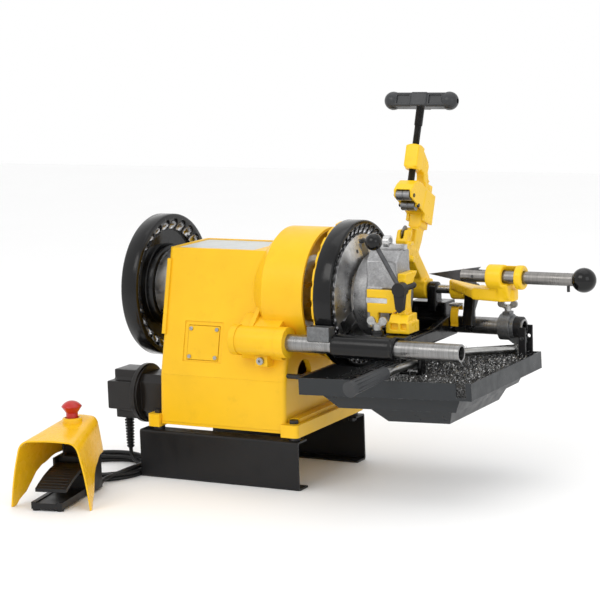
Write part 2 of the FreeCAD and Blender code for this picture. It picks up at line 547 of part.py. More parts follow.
# ---------------------------------------------------------------- die head
def die_head():
    disc = rod_x(287, 318, 0, SPINDLE_Z, 83)
    drum = rod_x(318, 345, 0, SPINDLE_Z, 76)
    block = prism_x([(-82, 408), (-82, 462), (-62, 482), (-24, 482), (-24, 408)], 318, 386)
    block = rounded(block, 4, lambda e: abs(e.CenterOfMass.x - 386) < 0.1)
    lower = prism_x([(-84, 330), (-84, 410), (-58, 410), (-52, 344), (-58, 326)], 318, 352)
    arm = prism_x([(60, 350), (60, 410), (TOOL_Y, TOOL_Z + 15), (TOOL_Y, TOOL_Z - 15)], 287, 300)
    knuckle = rod_x(287, 300, TOOL_Y, TOOL_Z, 15)
    body = join([disc, drum, block, lower, arm, knuckle])
    cuts = [rod_x(280, 390, 0, SPINDLE_Z, 60), rod_x(280, 310, TOOL_Y, TOOL_Z, TOOL_PIN_R + RUN),
            rod_x(286, 289, 0, SPINDLE_Z, 72)]
    for k in range(4):
        cuts.append(die_shape(k, RUN, 8))
    return less(body, cuts)


def die_shape(k, gap, extra):
    """Thread chaser k in its radial slot; gap widens it for the slot, extra lengthens the slot outwards."""
    blank = box(298 - gap, 314 + gap, -8 - gap, 8 + gap, SPINDLE_Z + 52 - 2 * extra, SPINDLE_Z + 72 + extra)
    return turned(blank, 45 + 90 * k, (0, 0, SPINDLE_Z))


keep("die_head_body", die_head())
dies = []
for k in range(4):
    die = die_shape(k, 0, 0)
    cuts = [turned(box(297.5 + 4 * n, 299.5 + 4 * n, -9, 9, SPINDLE_Z + 51, SPINDLE_Z + 54), 45 + 90 * k,
                   (0, 0, SPINDLE_Z)) for n in range(1, 4)]
    dies.append(less(die, cuts))
keep("thread_dies", dies)
clamp = join([box(322, 372, -92, -84, 362, 408), rod_y(-92, -84, 372, 385, 23)])
clamp = less(clamp, [box(320, 366, -93, -83, 381, 391)])
leg = join([box(328, 346, -92, -84, 334, 364), box(328, 356, -92, -84, 334, 340)])
holder = prism_x([(-92, 328), (-92, 366), (-84, 372), (-84, 428), (-60, 440), (-30, 440), (-30, 408),
                  (-56, 400), (-58, 328)], 388, 404)
foot = box(372, 422, -112, -64, 326, 348)
foot_top = prism_x([(-112, 348), (-100, 362), (-64, 362), (-64, 348)], 378, 418)
holder = join([holder, foot, foot_top, box(386, 404, -82, -30, 408, 440)])
holder = less(holder, [box(382, 398, -114, -104, 334, 346), box(404, 416, -114, -104, 334, 346),
                       rod_y(-93, -29, 401, 412, 6 + RUN), rod_x(380, 430, 0, SPINDLE_Z, 60)])
keep("die_head_holder", join([holder, clamp, leg]))
bar_top = join([box(330, 386, -46, -34, 482, 492), pipe_x(340, 352, -40, 497, 12, 8)])
keep("die_adjusting_bar", [bar_top, box(320, 366, -90, -84, 381, 391)])

# closing lever on the die head
hub = join([rod_y(-112, -92.5, 401, 412, 14), rod_y(-92.5, -40, 401, 412, 6)])
tail = prism_y([(389, 406), (413, 406), (408, 372), (400, 366), (393, 374)], -110, -98)
stalk = bar([(399, -104, 418), (354, -104, 494)], 4.5)
keep("die_closing_lever", join([hub, tail, stalk, ball(347, -104, 504, 17, (-45, 0, 76))]))


# ---------------------------------------------------------------- pipe cutter, leaning back
CUT_LEAN = 20.6                      # the screw leans this far back from vertical
CUT_BASE = (104.0, 591.0)            # y, z of a point on the screw axis


def cut_yz(u, v):
    """Point v along the screw axis and u across it, towards the back."""
    a = math.radians(CUT_LEAN)
    return CUT_BASE[0] + v * math.sin(a) + u * math.cos(a), CUT_BASE[1] + v * math.cos(a) - u * math.sin(a)


def cut_prism(uv, x0, x1):
    return prism_x([cut_yz(u, v) for u, v in uv], CUT_X + x0, CUT_X + x1)


def cut_rod(v0, v1, u, r, x=0.0):
    y0, z0 = cut_yz(u, v0)
    y1, z1 = cut_yz(u, v1)
    a, b = V(CUT_X + x, y0, z0), V(CUT_X + x, y1, z1)
    return Part.makeCylinder(r, (b - a).Length, a, b - a)


def cut_pin(u, v, r, x0, x1):
    y, z = cut_yz(u, v)
    return rod_x(CUT_X + x0, CUT_X + x1, y, z, r)


def cutter_frame():
    head = cut_prism([(-15, 38), (-15, 84), (15, 84), (15, 38)], -15, 15)
    head = join([head, cut_rod(34, 86, 0, 15)])
    bow = cut_prism([(10, 84), (30, 80), (52, 66), (70, 40), (76, 10), (76, -60), (70, -100), (60, -132),
                     (40, -150), (28, -150), (36, -118), (44, -60), (46, 10), (38, 36), (14, 44)], -9, 9)
    rails = cut_prism([(42, 20), (78, 20), (78, -74), (42, -74)], -14, 14)
    jaw_outline = [(-10, -94), (34, -78), (60, -80), (56, -136), (30, -150), (4, -140), (-12, -118)]
    jaw = cut_prism(jaw_outline, -12, 12)
    neck_pts = [cut_yz(-6, -128), cut_yz(44, -122), (TOOL_Y + 22, TOOL_Z + 22), (TOOL_Y + 23, TOOL_Z),
                (TOOL_Y - 20, TOOL_Z), (TOOL_Y - 18, TOOL_Z + 22)]
    neck = prism_x(neck_pts, CUT_X - 14, CUT_X + 14)
    boss_top = box(302, 352, TOOL_Y - 20, TOOL_Y + 22, TOOL_Z, TOOL_Z + 18)
    boss = join([rod_x(302, 352, TOOL_Y, TOOL_Z, 22), boss_top])
    boss = rounded(boss, 3, lambda e: e.Length > 40 and abs(e.CenterOfMass.x - 327) < 1 and
                   e.CenterOfMass.z > TOOL_Z + 10)
    web_cut = cut_prism([(14, -86), (30, -84), (28, -114), (10, -110)], 4, 13)
    body = join([head, bow, rails, jaw, neck, boss])
    cuts = [cut_rod(-10, 100, 0, 7 + RUN), rod_x(300, 354, TOOL_Y, TOOL_Z, TOOL_PIN_R + RUN),
            cut_prism([(-14, -82), (22, -82), (22, -112), (-14, -112)], -3.3, 3.3),
            cut_pin(4, -98, 18.5, -3.3, 3.3),
            cut_pin(4, -98, 4, -13, 13),
            cut_prism([(60, 60), (70, 42), (74, 12), (60, 12), (56, 40)], -10, -5),
            cut_prism([(60, 60), (70, 42), (74, 12), (60, 12), (56, 40)], 5, 10), web_cut]
    return less(body, cuts)


strips = [cut_prism([(60, 14), (64, 14), (64, -66), (60, -66)], 14, 15.5),
          cut_prism([(60, 14), (64, 14), (64, -66), (60, -66)], -15.5, -14)]


def cutter_slide():
    block_outline = [(-24, -2), (-10, 10), (16, 10), (41.5, 2), (41.5, -20), (34, -44), (-28, -30), (-34, -16)]
    block = cut_prism(block_outline, -20, 20)
    cheek = cut_prism([(41.5, 4), (82, 0), (82, -62), (41.5, -62)], 14.2, 21)
    cheek2 = cut_prism([(41.5, 4), (82, 0), (82, -62), (41.5, -62)], -21, -14.2)
    link = cut_prism([(36, 4), (41.5, 4), (41.5, -48), (30, -44)], -21, 21)
    body = join([block, cheek, cheek2, link])
    cuts = [cut_prism([(-50, -8), (-8, -24), (-8, -60), (-50, -60)], -15.5, 15.5),
            cut_prism([(-50, -32), (36, -32), (36, -60), (-50, -60)], -15.5, 15.5),
            cut_rod(-5.5, 12, 0, 7 + RUN), cut_pin(-21, -24, 12.5, -15.5, 15.5),
            cut_pin(7, -38, 12.5, -15.5, 15.5), cut_pin(-21, -24, 4, -25, 25), cut_pin(7, -38, 4, -25, 25),
            cut_prism([(64.2, 20), (59.8, 20), (59.8, -70), (64.2, -70)], 14, 15.7),
            cut_prism([(64.2, 20), (59.8, 20), (59.8, -70), (64.2, -70)], -15.7, -14)]
    return less(body, cuts)


keep("cutter_slide", join([cutter_slide(), cut_pin(-21, -24, 4, -22, 22), cut_pin(7, -38, 4, -22, 22)]))
for number, (u, v) in enumerate(((-21, -24), (7, -38)), 1):
    roller = join([cut_pin(u, v, 11, -15, -1), cut_pin(u, v, 9.5, -1, 1), cut_pin(u, v, 11, 1, 15)])
    keep("cutter_roller_%d" % number, less(roller, [cut_pin(u, v, 4 + RUN, -16, 16)]))
wheel = join([cut_pin(4, -98, 7, -3, 3), cut_pin(4, -98, 12, -1.2, 1.2)])
for sign in (1, -1):
    disc = Part.makeCone(16.5, 11.5, 1.8, V(0, 0, 0), V(sign, 0, 0))
    y, z = cut_yz(4, -98)
    disc.translate(V(CUT_X, y, z))
    wheel = join([wheel, disc])
keep("cutter_wheel", less(wheel, [cut_pin(4, -98, 4 + RUN, -5, 5)]))
wheel_pin = join([cut_pin(4, -98, 4, -13, 14), cut_pin(4, -98, 6, 12, 14)])
screw = [cut_rod(-5.5, 186, 0, 7), cut_rod(128, 172, 0, 8.5)]


def cutter_handle():
    """T-handle: a bar with ball ends, square in the middle with hollows in its faces."""
    x0, x1 = -67.0, 67.0
    y, z = cut_yz(0, 180)
    square = box(x0, x1, -14, 14, -15, 15)
    square = rounded(square, 5, lambda e: e.Length > 100)
    mid = box(-19, 19, -17, 17, -15, 15)
    mid = rounded(mid, 4, lambda e: e.Length > 25)
    parts = [square, mid, ball(x0 + 4, 0, 0, 19, (-1, 0, 0)), ball(x1 - 4, 0, 0, 19, (1, 0, 0))]
    body = join(parts)
    cuts = []
    for sx in (-1, 1):
        for sy in (-1, 1):
            cuts.append(box(min(sx * 22, sx * 50), max(sx * 22, sx * 50), min(sy * 11, sy * 20),
                            max(sy * 11, sy * 20), -9, 9))
    cuts.append(rod_x(x1 - 12, x1 + 20, 0, 0, 5))
    body = less(body, cuts)
    body.rotate(V(0, 0, 0), V(1, 0, 0), -CUT_LEAN)
    body.translate(V(CUT_X, y, z))
    return join([body] + screw)


keep("cutter_handle", cutter_handle())
latch_top = cut_yz(-2, -122)
latch = prism_x([(latch_top[0] - 16, latch_top[1] + 6), (latch_top[0] - 6, latch_top[1] + 6),
                 (latch_top[0], latch_top[1] - 30), (latch_top[0] - 10, latch_top[1] - 30)],
                CUT_X + 15.4, CUT_X + 19)
latch_rod = join([rod_x(CUT_X + 15.4, CUT_X + 28, latch_top[0] - 5, latch_top[1] - 29, 7),
                  rod_x(CUT_X + 10, CUT_X + 21, latch_top[0], latch_top[1] + 2, 5)])
latch = join([latch, latch_rod, box(CUT_X + 15.4, CUT_X + 19, latch_top[0] - 18, latch_top[0] + 16,
                                    latch_top[1] - 2, latch_top[1] + 6)])
keep("cutter_frame", join([cutter_frame(), wheel_pin, latch] + strips))

# ---------------------------------------------------------------- reamer
REAM_Y, REAM_Z = 9.5, 428.0


def reamer_arm():
    left = rod_x(540, 574, REAM_Y, REAM_Z, 24)
    right = rod_x(600, 616, REAM_Y, REAM_Z, 24)
    bridge = prism_x([(REAM_Y + 2, REAM_Z + 23), (REAM_Y + 26, REAM_Z + 14), (REAM_Y + 26, REAM_Z - 10),
                      (REAM_Y + 14, REAM_Z - 20), (REAM_Y + 14, REAM_Z + 4)], 560, 610)
    drop_outline = [(REAM_Y - 14, REAM_Z - 14), (REAM_Y + 24, REAM_Z - 4), (46, 408), (40, 380), (6, 384)]
    drop = prism_x(drop_outline, 560, 584)
    low = prism_z([(500, 16), (566, 4), (590, 16), (590, 42), (560, 50), (500, 60)], 378, 402)
    low = rounded(low, 6, lambda e: abs(e.Length - 24) < 0.1)
    reach = prism_z([(462, 92), (462, 104), (436, 138), (404, 138), (404, 122), (430, 92), (500, 16), (520, 20),
                     (520, 52)], 380, 400)
    hub = rod_x(405, 437, TOOL_Y, TOOL_Z, 20)
    knee = box(405, 437, TOOL_Y - 18, TOOL_Y + 4, TOOL_Z, 400)
    body = join([left, right, bridge, drop, low, reach, hub, knee])
    groove = prism_z([(520, 24), (572, 14), (572, 22), (520, 40)], 398, 403)
    return less(body, [rod_x(530, 625, REAM_Y, REAM_Z, 12.5 + RUN),
                       rod_x(400, 440, TOOL_Y, TOOL_Z, TOOL_PIN_R + RUN),
                       groove, box(438, 463, 100, 160, 370, 395)])


keep("reamer_arm", reamer_arm())
rod = rod_x(484, 722, REAM_Y, REAM_Z, 12.5)
rod = less(rod, [box(480, 526, REAM_Y - 2, REAM_Y + 2, REAM_Z - 20, REAM_Z + 20),
                 rod_y(-10, 30, 510, REAM_Z, 3),
                 rod_z(REAM_Z - 20, REAM_Z + 20, 706, REAM_Y, 3)])
blade = prism_y([(412, REAM_Z), (524, REAM_Z + 18), (520, REAM_Z + 14), (500, REAM_Z), (514, REAM_Z - 15),
                 (514, REAM_Z - 18)], REAM_Y - 2, REAM_Y + 2)
blade = join([blade, box(480, 522, REAM_Y - 2, REAM_Y + 2, REAM_Z - 9, REAM_Z + 9)])
keep("reamer_blade", join([blade, rod_y(REAM_Y - 12, REAM_Y + 12, 510, REAM_Z, 3)]))
keep("reamer_rod", join([rod, rod_z(REAM_Z - 24, REAM_Z + 11, 706, REAM_Y, 3), ball(738, REAM_Y, REAM_Z, 24)]))

# ---------------------------------------------------------------- clamp ring, fork and feed lever
PIVOT = (545.0, 150.0)
clamp_ring = join([rod_x(506, 530, TUBE_Y, TUBE_Z, 27), rod_x(530, 538, TUBE_Y, TUBE_Z, 23)])
spur = prism_y([(510, 300), (530, 300), (557, 282), (557, 271), (533, 271), (512, 286)], 141, 159)
clamp_ring = join([clamp_ring, spur, box(512, 528, 140, 160, TUBE_Z + 20, TUBE_Z + 32)])
clamp_ring = less(clamp_ring, [rod_x(500, 560, TUBE_Y, TUBE_Z, TUBE_R), rod_z(268, 284, PIVOT[0], PIVOT[1], 5)])
clamp_ring = less(clamp_ring, [rod_z(TUBE_Z + 18, TUBE_Z + 34, 520, 150, 4)])
keep("clamp_ring", clamp_ring)
fork = less(rod_x(538, 552, TUBE_Y, TUBE_Z, 22), [rod_x(530, 560, TUBE_Y, TUBE_Z, TUBE_R)])
legs = [box(551, 565, 166, 171, 244, 300), box(551, 565, 129, 134, 244, 300),
        box(538, 565, 129, 171, 244, 249), box(551, 552.5, 129, 171, 285, 300),
        box(545, 565, 166, 171, 290, 306), box(545, 565, 129, 134, 290, 306)]
fork = join([fork] + legs)
fork = less(fork, [rod_x(530, 570, TUBE_Y, TUBE_Z, TUBE_R), rod_z(240, 252, PIVOT[0], PIVOT[1], 5),
                   rod_y(128, 172, 558, 284, 4), box(538, 550.9, 140, 160, 250, 290),
                   box(550, 558, 140, 160, 268, 290)])
keep("clamp_fork", join([fork, rod_z(244, 280, PIVOT[0], PIVOT[1], 5)]))
nut = [rod_z(TUBE_Z + 32.2, TUBE_Z + 42, 520, 150, 7), rod_z(TUBE_Z + 20, TUBE_Z + 46, 520, 150, 4 - RUN)]
for side in (-1, 1):
    arm = prism_y([(520, TUBE_Z + 34), (520, TUBE_Z + 42), (520 + side * 13, TUBE_Z + 53),
                   (520 + side * 18, TUBE_Z + 42)], 147.5, 152.5)
    nut += [arm, rod_y(147.5, 152.5, 520 + side * 14, TUBE_Z + 47, 7.5)]
keep("clamp_wing_nut", join(nut))
LEVER = [(545, 150, 260), (427, 20, 265), (411, -176, 266), (383, -300, 250)]
grip_from, grip_to = V(*LEVER[2]), V(*LEVER[3])
along = (grip_to - grip_from).normalize()
lever_end = grip_from + along * 70
lever = bent_rod(LEVER[:3] + [tuple(lever_end)], 8.5, 45)
lever = join([lever, rod_z(250, 270, PIVOT[0], PIVOT[1], 13)])
lever = less(lever, [rod_z(240, 280, PIVOT[0], PIVOT[1], 5 + RUN)])
keep("feed_lever", lever)
grip = join([Part.makeCone(12.5, 15, 110, grip_from + along * 16, along),
             Part.makeCylinder(15.5, 6, grip_from + along * 120, along)])
flutes = []
for k in range(12):
    flute = Part.makeCylinder(1.7, 92, grip_from + along * 24 + V(0, 0, 14.6), along)
    flute.rotate(grip_from, along, 30 * k)
    flutes.append(flute)
keep("lever_grip", less(grip, flutes + [lever]))


# ---------------------------------------------------------------- foot switch
def at_switch(shape):
    out = turned(shape, SWITCH_TURN, (0, 0, 0), (0, 0, 1))
    out.translate(V(SWITCH_AT[0], SWITCH_AT[1], 0))
    return out


def switch_section(y, half_top, half_low, z_top, z_low):
    return [(-half_low, y, z_low), (half_low, y, z_low), (half_top, y, z_top), (-half_top, y, z_top)]


def switch_guard():
    outer = loft([switch_section(0, 60, 86, 136, 0), switch_section(178, 32, 48, 154, 0)])
    outer = rounded(outer, 9, lambda e: e.Length > 100 and e.CenterOfMass.z > 100)
    inner = loft([switch_section(-2, 56.8, 83.4, 132.8, -2), switch_section(175, 29, 45, 150.8, -2)])
    low = prism_x([(14, -5), (24, 12), (92, 66), (140, 78), (200, 78), (200, -5)], -100, 100)
    collar = rod_z(140, 158, 0, 124, 20)
    shell = less(join([outer, collar]), [inner, low, rod_z(130, 160, 0, 124, 8 + RUN),
                                         rod_z(150, 160, 0, 124, 14.5)])
    return shell


base = [box(-33, 33, -20, 120, 4, 16), box(-38, 38, 104, 172, 4, 77.5), box(-33, -23, -20, 120, 10, 18),
        box(23, 33, -20, 120, 10, 18)]
for fx in (-26, 26):
    for fy in (-12, 160):
        base.append(rod_z(0, 6, fx, fy, 7))
base.append(box(-34, 34, 150, 175, 70, 92))
base = join(base)
base = less(base, [rod_x(-40, 40, 112, 60, 4), box(-33.2, 33.2, 100, 121, 44, 80)])
cheeks = [box(-38, -33.2, 103, 121, 44, 77), box(33.2, 38, 103, 121, 44, 77)]
base = less(join([base] + cheeks), [rod_x(-40, 40, 112, 60, 4)])
keep("foot_switch_guard", at_switch(join([switch_guard(), rod_z(153, 156, 0, 164, 5)])))
top_line = [(2, 40), (20, 47), (45, 56), (75, 63), (112, 67)]
pedal = prism_x(top_line + [(118, 60), (112, 53), (74, 56), (45, 49), (20, 40), (2, 33)], -33, 33)
pedal = less(pedal, [rod_x(-40, 40, 112, 60, 4 + RUN)])
for k in range(9):
    ya = 8 + 9.5 * k
    z_here = 40
    for (ya0, za0), (ya1, za1) in zip(top_line, top_line[1:]):
        if ya0 <= ya <= ya1:
            z_here = za0 + (za1 - za0) * (ya - ya0) / (ya1 - ya0)
    pedal = pedal.cut(rod_x(-30, 30, ya, z_here + 0.9, 1.8))
keep("foot_pedal", at_switch(pedal))
mushroom = Part.makeCone(12, 21, 13, V(0, 124, 168), V(0, 0, 1))
cap_top = ball(0, 124, 168, 24.5).common(rod_z(181, 195, 0, 124, 21))
button = join([mushroom, cap_top, rod_z(146, 168, 0, 124, 8), rod_z(156, 170, 0, 124, 12)])
keep("emergency_button", at_switch(button))
gland = join([rod_y(172, 178, GLAND_X, GLAND_Z, 9),
              Part.makeCone(7.5, 5.5, 24, V(GLAND_X, 174, GLAND_Z), V(0, 1, 0))])
pedal_pin = rod_x(-38, 38, 112, 60, 4)
lock_rod = join([rod_z(77, 128, -24, 128, 2.5), rod_z(77, 81, -24, 128, 5)])
keep("foot_switch_base", at_switch(join([base, pedal_pin, lock_rod, gland])))

# ---------------------------------------------------------------- cable
coil = less(rod_z(0, COIL_H, COIL_AT[0], COIL_AT[1], COIL_R1),
            [rod_z(-1, 30, COIL_AT[0], COIL_AT[1], COIL_R0)])
keep("cable_coil", rounded(coil, 3.5, lambda e: e.Length > 300))
motor_end = rod_z(COIL_H, RELIEF_Z, RELIEF_X, MOTOR_Y, CABLE_R)
switch_end = at_switch(rod_y(198, 240, GLAND_X, GLAND_Z, CABLE_R))
switch_end = less(switch_end, [rod_z(-1, 40, COIL_AT[0], COIL_AT[1], COIL_R1)])
switch_end = switch_end.Solids[0]
keep("switch_cable", [motor_end, switch_end])

# ---------------------------------------------------------------- shift to the footprint middle and write
boxes = []
for name, shapes in NODES.items():
    solids = []
    for s in shapes:
        solids += s.Solids
    shape = solids[0] if len(solids) == 1 else Part.makeCompound(solids)
    shape.translate(V(-ORIGIN_X, -ORIGIN_Y, 0))
    shape.exportStep("parts/" + name + ".step")
    b = shape.optimalBoundingBox(True, False)
    if not name.startswith(("cable", "switch_cable")):
        boxes.append(b)
    print(name, len(solids), "valid" if shape.isValid() else "INVALID", [round(v, 1) for v in (
        b.XMin, b.XMax, b.YMin, b.YMax, b.ZMin, b.ZMax)])
x0, x1 = min(b.XMin for b in boxes), max(b.XMax for b in boxes)
y0, y1 = min(b.YMin for b in boxes), max(b.YMax for b in boxes)
print("footprint", round(x1 - x0, 1), round(y1 - y0, 1), "height", round(max(b.ZMax for b in boxes), 1),
      "lowest", round(min(b.ZMin for b in boxes), 2))
print("origin should be", round(ORIGIN_X + (x0 + x1) / 2, 2), round(ORIGIN_Y + (y0 + y1) / 2, 2))
print("cable: straight down from the motor, straight out of the switch, both runs without a bend")
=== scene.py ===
import json
import math
import random

import bmesh
import bpy
from mathutils import Matrix, Vector


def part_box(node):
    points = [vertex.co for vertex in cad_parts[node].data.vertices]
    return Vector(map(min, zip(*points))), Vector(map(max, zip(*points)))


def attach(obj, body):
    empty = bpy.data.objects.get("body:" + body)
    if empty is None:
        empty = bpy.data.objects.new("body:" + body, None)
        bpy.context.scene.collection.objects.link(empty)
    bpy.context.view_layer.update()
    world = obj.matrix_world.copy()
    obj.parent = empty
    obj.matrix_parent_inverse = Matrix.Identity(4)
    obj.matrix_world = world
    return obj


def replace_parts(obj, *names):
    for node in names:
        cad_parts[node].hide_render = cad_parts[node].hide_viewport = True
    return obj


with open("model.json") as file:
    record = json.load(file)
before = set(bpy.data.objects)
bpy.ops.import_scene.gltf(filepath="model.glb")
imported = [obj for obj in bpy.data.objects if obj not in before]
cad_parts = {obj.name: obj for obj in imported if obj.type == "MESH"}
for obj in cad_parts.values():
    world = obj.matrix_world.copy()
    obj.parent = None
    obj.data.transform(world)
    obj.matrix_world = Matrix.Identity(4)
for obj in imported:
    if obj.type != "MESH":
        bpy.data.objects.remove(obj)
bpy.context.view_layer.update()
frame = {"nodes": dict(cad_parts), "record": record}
nodes = frame["nodes"]
random.seed(7)


# ------------------------------------------------------------------ places in the row frame, in metres
# at() takes the drawing's x, y, z in millimetres: x from the middle of the feet, y from the spindle's plane.
# Both guide tubes start at x 62 and lie at equal distances from that plane.
front_tube, rear_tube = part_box("front_guide_tube"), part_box("rear_guide_tube")
SHIFT_X = 62.0 - 1000.0 * front_tube[0][0]
SHIFT_Y = -500.0 * (front_tube[0][1] + rear_tube[1][1])
SPINDLE_HEIGHT = 383.0                           # from here to COIL_Y in the drawing's millimetres
CABLE_EXIT = (-263.0, -70.0, 38.0)               # lower end of the motor's strain relief
CUTTER = (330.0, 104.0, 591.0)                   # a point on the axis of the cutter's screw
LEAN = math.radians(20.6)                        # the screw leans this far back from vertical
ROLLERS = ((-21.0, -24.0), (7.0, -38.0))         # across and along the screw's axis
SWITCH_X, SWITCH_Y, SWITCH_TURN = -209.0, -446.0, math.radians(11.0)
COIL_X, COIL_Y = -284.0, -142.0


def at(x, y, z):
    """Place in the row frame of a place in the drawing."""
    return Vector(((x - SHIFT_X) / 1000.0, (y - SHIFT_Y) / 1000.0, z / 1000.0))


# ------------------------------------------------------------------ material helper
class Graph:
    """Small wrapper that makes a node material and joins its nodes."""

    def __init__(self, name):
        self.mat = bpy.data.materials.new(name)
        self.mat.use_nodes = True
        self.tree = self.mat.node_tree
        self.shader = self.tree.nodes["Principled BSDF"]
        self.coords = self.add("ShaderNodeTexCoord").outputs["Object"]

    def add(self, kind, **values):
        node = self.tree.nodes.new(kind)
        for key, value in values.items():
            setattr(node, key, value)
        return node

    def link(self, a, b):
        self.tree.links.new(a, b)

    def mapped(self, scale):
        node = self.add("ShaderNodeMapping")
        node.inputs["Scale"].default_value = scale
        self.link(self.coords, node.inputs["Vector"])
        return node.outputs["Vector"]

    def noise(self, scale, detail=4.0, rough=0.55, vector=None):
        node = self.add("ShaderNodeTexNoise")
        node.inputs["Scale"].default_value = scale
        node.inputs["Detail"].default_value = detail
        node.inputs["Roughness"].default_value = rough
        self.link(vector or self.coords, node.inputs["Vector"])
        return node.outputs["Fac"]

    def ramp(self, value, stops):
        node = self.add("ShaderNodeValToRGB")
        ramp = node.color_ramp
        while len(ramp.elements) < len(stops):
            ramp.elements.new(0.5)
        for element, (pos, colour) in zip(ramp.elements, stops):
            element.position = pos
            element.color = tuple(colour) + (1.0,)
        self.link(value, node.inputs["Fac"])
        return node.outputs["Color"]

    def span(self, value, low, high, to_low, to_high):
        node = self.add("ShaderNodeMapRange")
        for key, number in (("From Min", low), ("From Max", high), ("To Min", to_low), ("To Max", to_high)):
            node.inputs[key].default_value = number
        self.link(value, node.inputs["Value"])
        return node.outputs["Result"]

    def mix(self, factor, a, b):
        node = self.add("ShaderNodeMix", data_type="RGBA")
        sockets = [s for s in node.inputs if s.enabled]
        for socket, value in zip(sockets, (factor, a, b)):
            if hasattr(value, "is_output"):
                self.link(value, socket)
            elif isinstance(value, (int, float)):
                socket.default_value = value
            else:
                socket.default_value = tuple(value) + (1.0,) * (4 - len(value))
        return [s for s in node.outputs if s.enabled][0]

    def maths(self, operation, a, b=0.0):
        node = self.add("ShaderNodeMath", operation=operation)
        for socket, value in ((node.inputs[0], a), (node.inputs[1], b)):
            if hasattr(value, "is_output"):
                self.link(value, socket)
            else:
                socket.default_value = value
        return node.outputs["Value"]

    def bump(self, height, strength, distance, normal=None):
        node = self.add("ShaderNodeBump")
        node.inputs["Strength"].default_value = strength
        node.inputs["Distance"].default_value = distance
        self.link(height, node.inputs["Height"])
        if normal is not None:
            self.link(normal, node.inputs["Normal"])
        return node.outputs["Normal"]

    def edges(self, radius):
        """Rounded normal and a mask that is 1 along sharp edges."""
        bevel = self.add("ShaderNodeBevel", samples=4)
        bevel.inputs["Radius"].default_value = radius
        geometry = self.add("ShaderNodeNewGeometry")
        dot = self.add("ShaderNodeVectorMath", operation="DOT_PRODUCT")
        self.link(bevel.outputs["Normal"], dot.inputs[0])
        self.link(geometry.outputs["Normal"], dot.inputs[1])
        return bevel.outputs["Normal"], self.span(dot.outputs["Value"], 0.995, 0.9, 0.0, 1.0)

    def out(self, colour, rough, normal, metal=0.0, coat=0.0, gloss=0.5):
        shader = self.shader
        inputs = (("Base Color", colour), ("Roughness", rough), ("Normal", normal), ("Metallic", metal))
        for name, value in inputs:
            if hasattr(value, "is_output"):
                self.link(value, shader.inputs[name])
            elif isinstance(value, (int, float)):
                shader.inputs[name].default_value = value
            else:
                shader.inputs[name].default_value = tuple(value) + (1.0,) * (4 - len(value))
        shader.inputs["Coat Weight"].default_value = coat
        shader.inputs["Specular IOR Level"].default_value = gloss
        shader.inputs["Coat Roughness"].default_value = 0.12
        return self.mat


def shade(colour, factor):
    return tuple(max(0.0, min(1.0, c * factor)) for c in colour)


def painted(name, colour, rough, grain=260.0, depth=0.0004, edge=None, wear=0.35, dirt=0.75,
            radius=0.0014, coat=0.06):
    """Sprayed paint on a casting or sheet: orange peel, slow colour drift, grime and rubbed edges."""
    g = Graph(name)
    drift = g.noise(7.0, 3.0)
    base = g.ramp(drift, [(0.3, shade(colour, 0.93)), (0.7, shade(colour, 1.06))])
    grime = g.span(g.noise(18.0, 8.0, 0.7), 0.56, 0.78, 0.0, 0.55)
    base = g.mix(grime, base, shade(colour, dirt))
    speck = g.span(g.noise(420.0, 2.0), 0.72, 0.78, 0.0, 0.5)
    base = g.mix(speck, base, shade(colour, 0.55))
    normal, mask = g.edges(radius)
    chips = g.maths("MULTIPLY", mask, g.span(g.noise(95.0, 6.0, 0.65), 0.52, 0.62, 0.0, wear))
    base = g.mix(chips, base, edge or shade(colour, 1.6))
    peel = g.noise(grain, 3.0)
    wave = g.noise(30.0, 2.0)
    normal = g.bump(wave, 0.25, 0.0012, normal)
    normal = g.bump(peel, 0.35, depth, normal)
    roughness = g.span(g.noise(40.0, 5.0), 0.3, 0.7, rough - 0.08, rough + 0.12)
    return g.out(base, roughness, normal, coat=coat, gloss=0.26)


def steel(name, colour, rough, stain=0.5, rings=0.0):
    """Turned, drawn or ground steel with oil stains. rings is how fine the rings round a long piece are."""
    g = Graph(name)
    stretch = (rings, 12.0, 12.0) if rings else (60.0, 60.0, 60.0)
    tool = g.noise(1.0, 3.0, 0.6, g.mapped(stretch))
    base = g.ramp(tool, [(0.35, shade(colour, 0.82)), (0.65, shade(colour, 1.12))])
    oil = g.span(g.noise(24.0, 7.0, 0.68), 0.5, 0.74, 0.0, stain)
    base = g.mix(oil, base, shade(colour, 0.42))
    normal, mask = g.edges(0.0008)
    base = g.mix(g.maths("MULTIPLY", mask, 0.4), base, shade(colour, 1.35))
    normal = g.bump(tool, 0.12, 0.0002, normal)
    normal = g.bump(g.noise(300.0, 3.0), 0.1, 0.0002, normal)
    roughness = g.span(g.noise(33.0, 6.0), 0.3, 0.7, rough - 0.1, rough + 0.18)
    return g.out(base, roughness, normal, 1.0)


def cast_metal(name, colour, rough=0.45, depth=0.0006):
    """Bare or plated casting: mottled grain, oil and brighter edges."""
    g = Graph(name)
    grain = g.noise(210.0, 6.0, 0.7)
    base = g.ramp(grain, [(0.3, shade(colour, 0.7)), (0.7, shade(colour, 1.25))])
    oil = g.span(g.noise(20.0, 7.0, 0.7), 0.5, 0.72, 0.0, 0.6)
    base = g.mix(oil, base, shade(colour, 0.5))
    normal, mask = g.edges(0.0012)
    base = g.mix(g.maths("MULTIPLY", mask, 0.5), base, shade(colour, 1.7))
    normal = g.bump(grain, 0.4, depth, normal)
    roughness = g.span(g.noise(50.0, 4.0), 0.3, 0.7, rough - 0.12, rough + 0.12)
    return g.out(base, roughness, normal, 0.85)


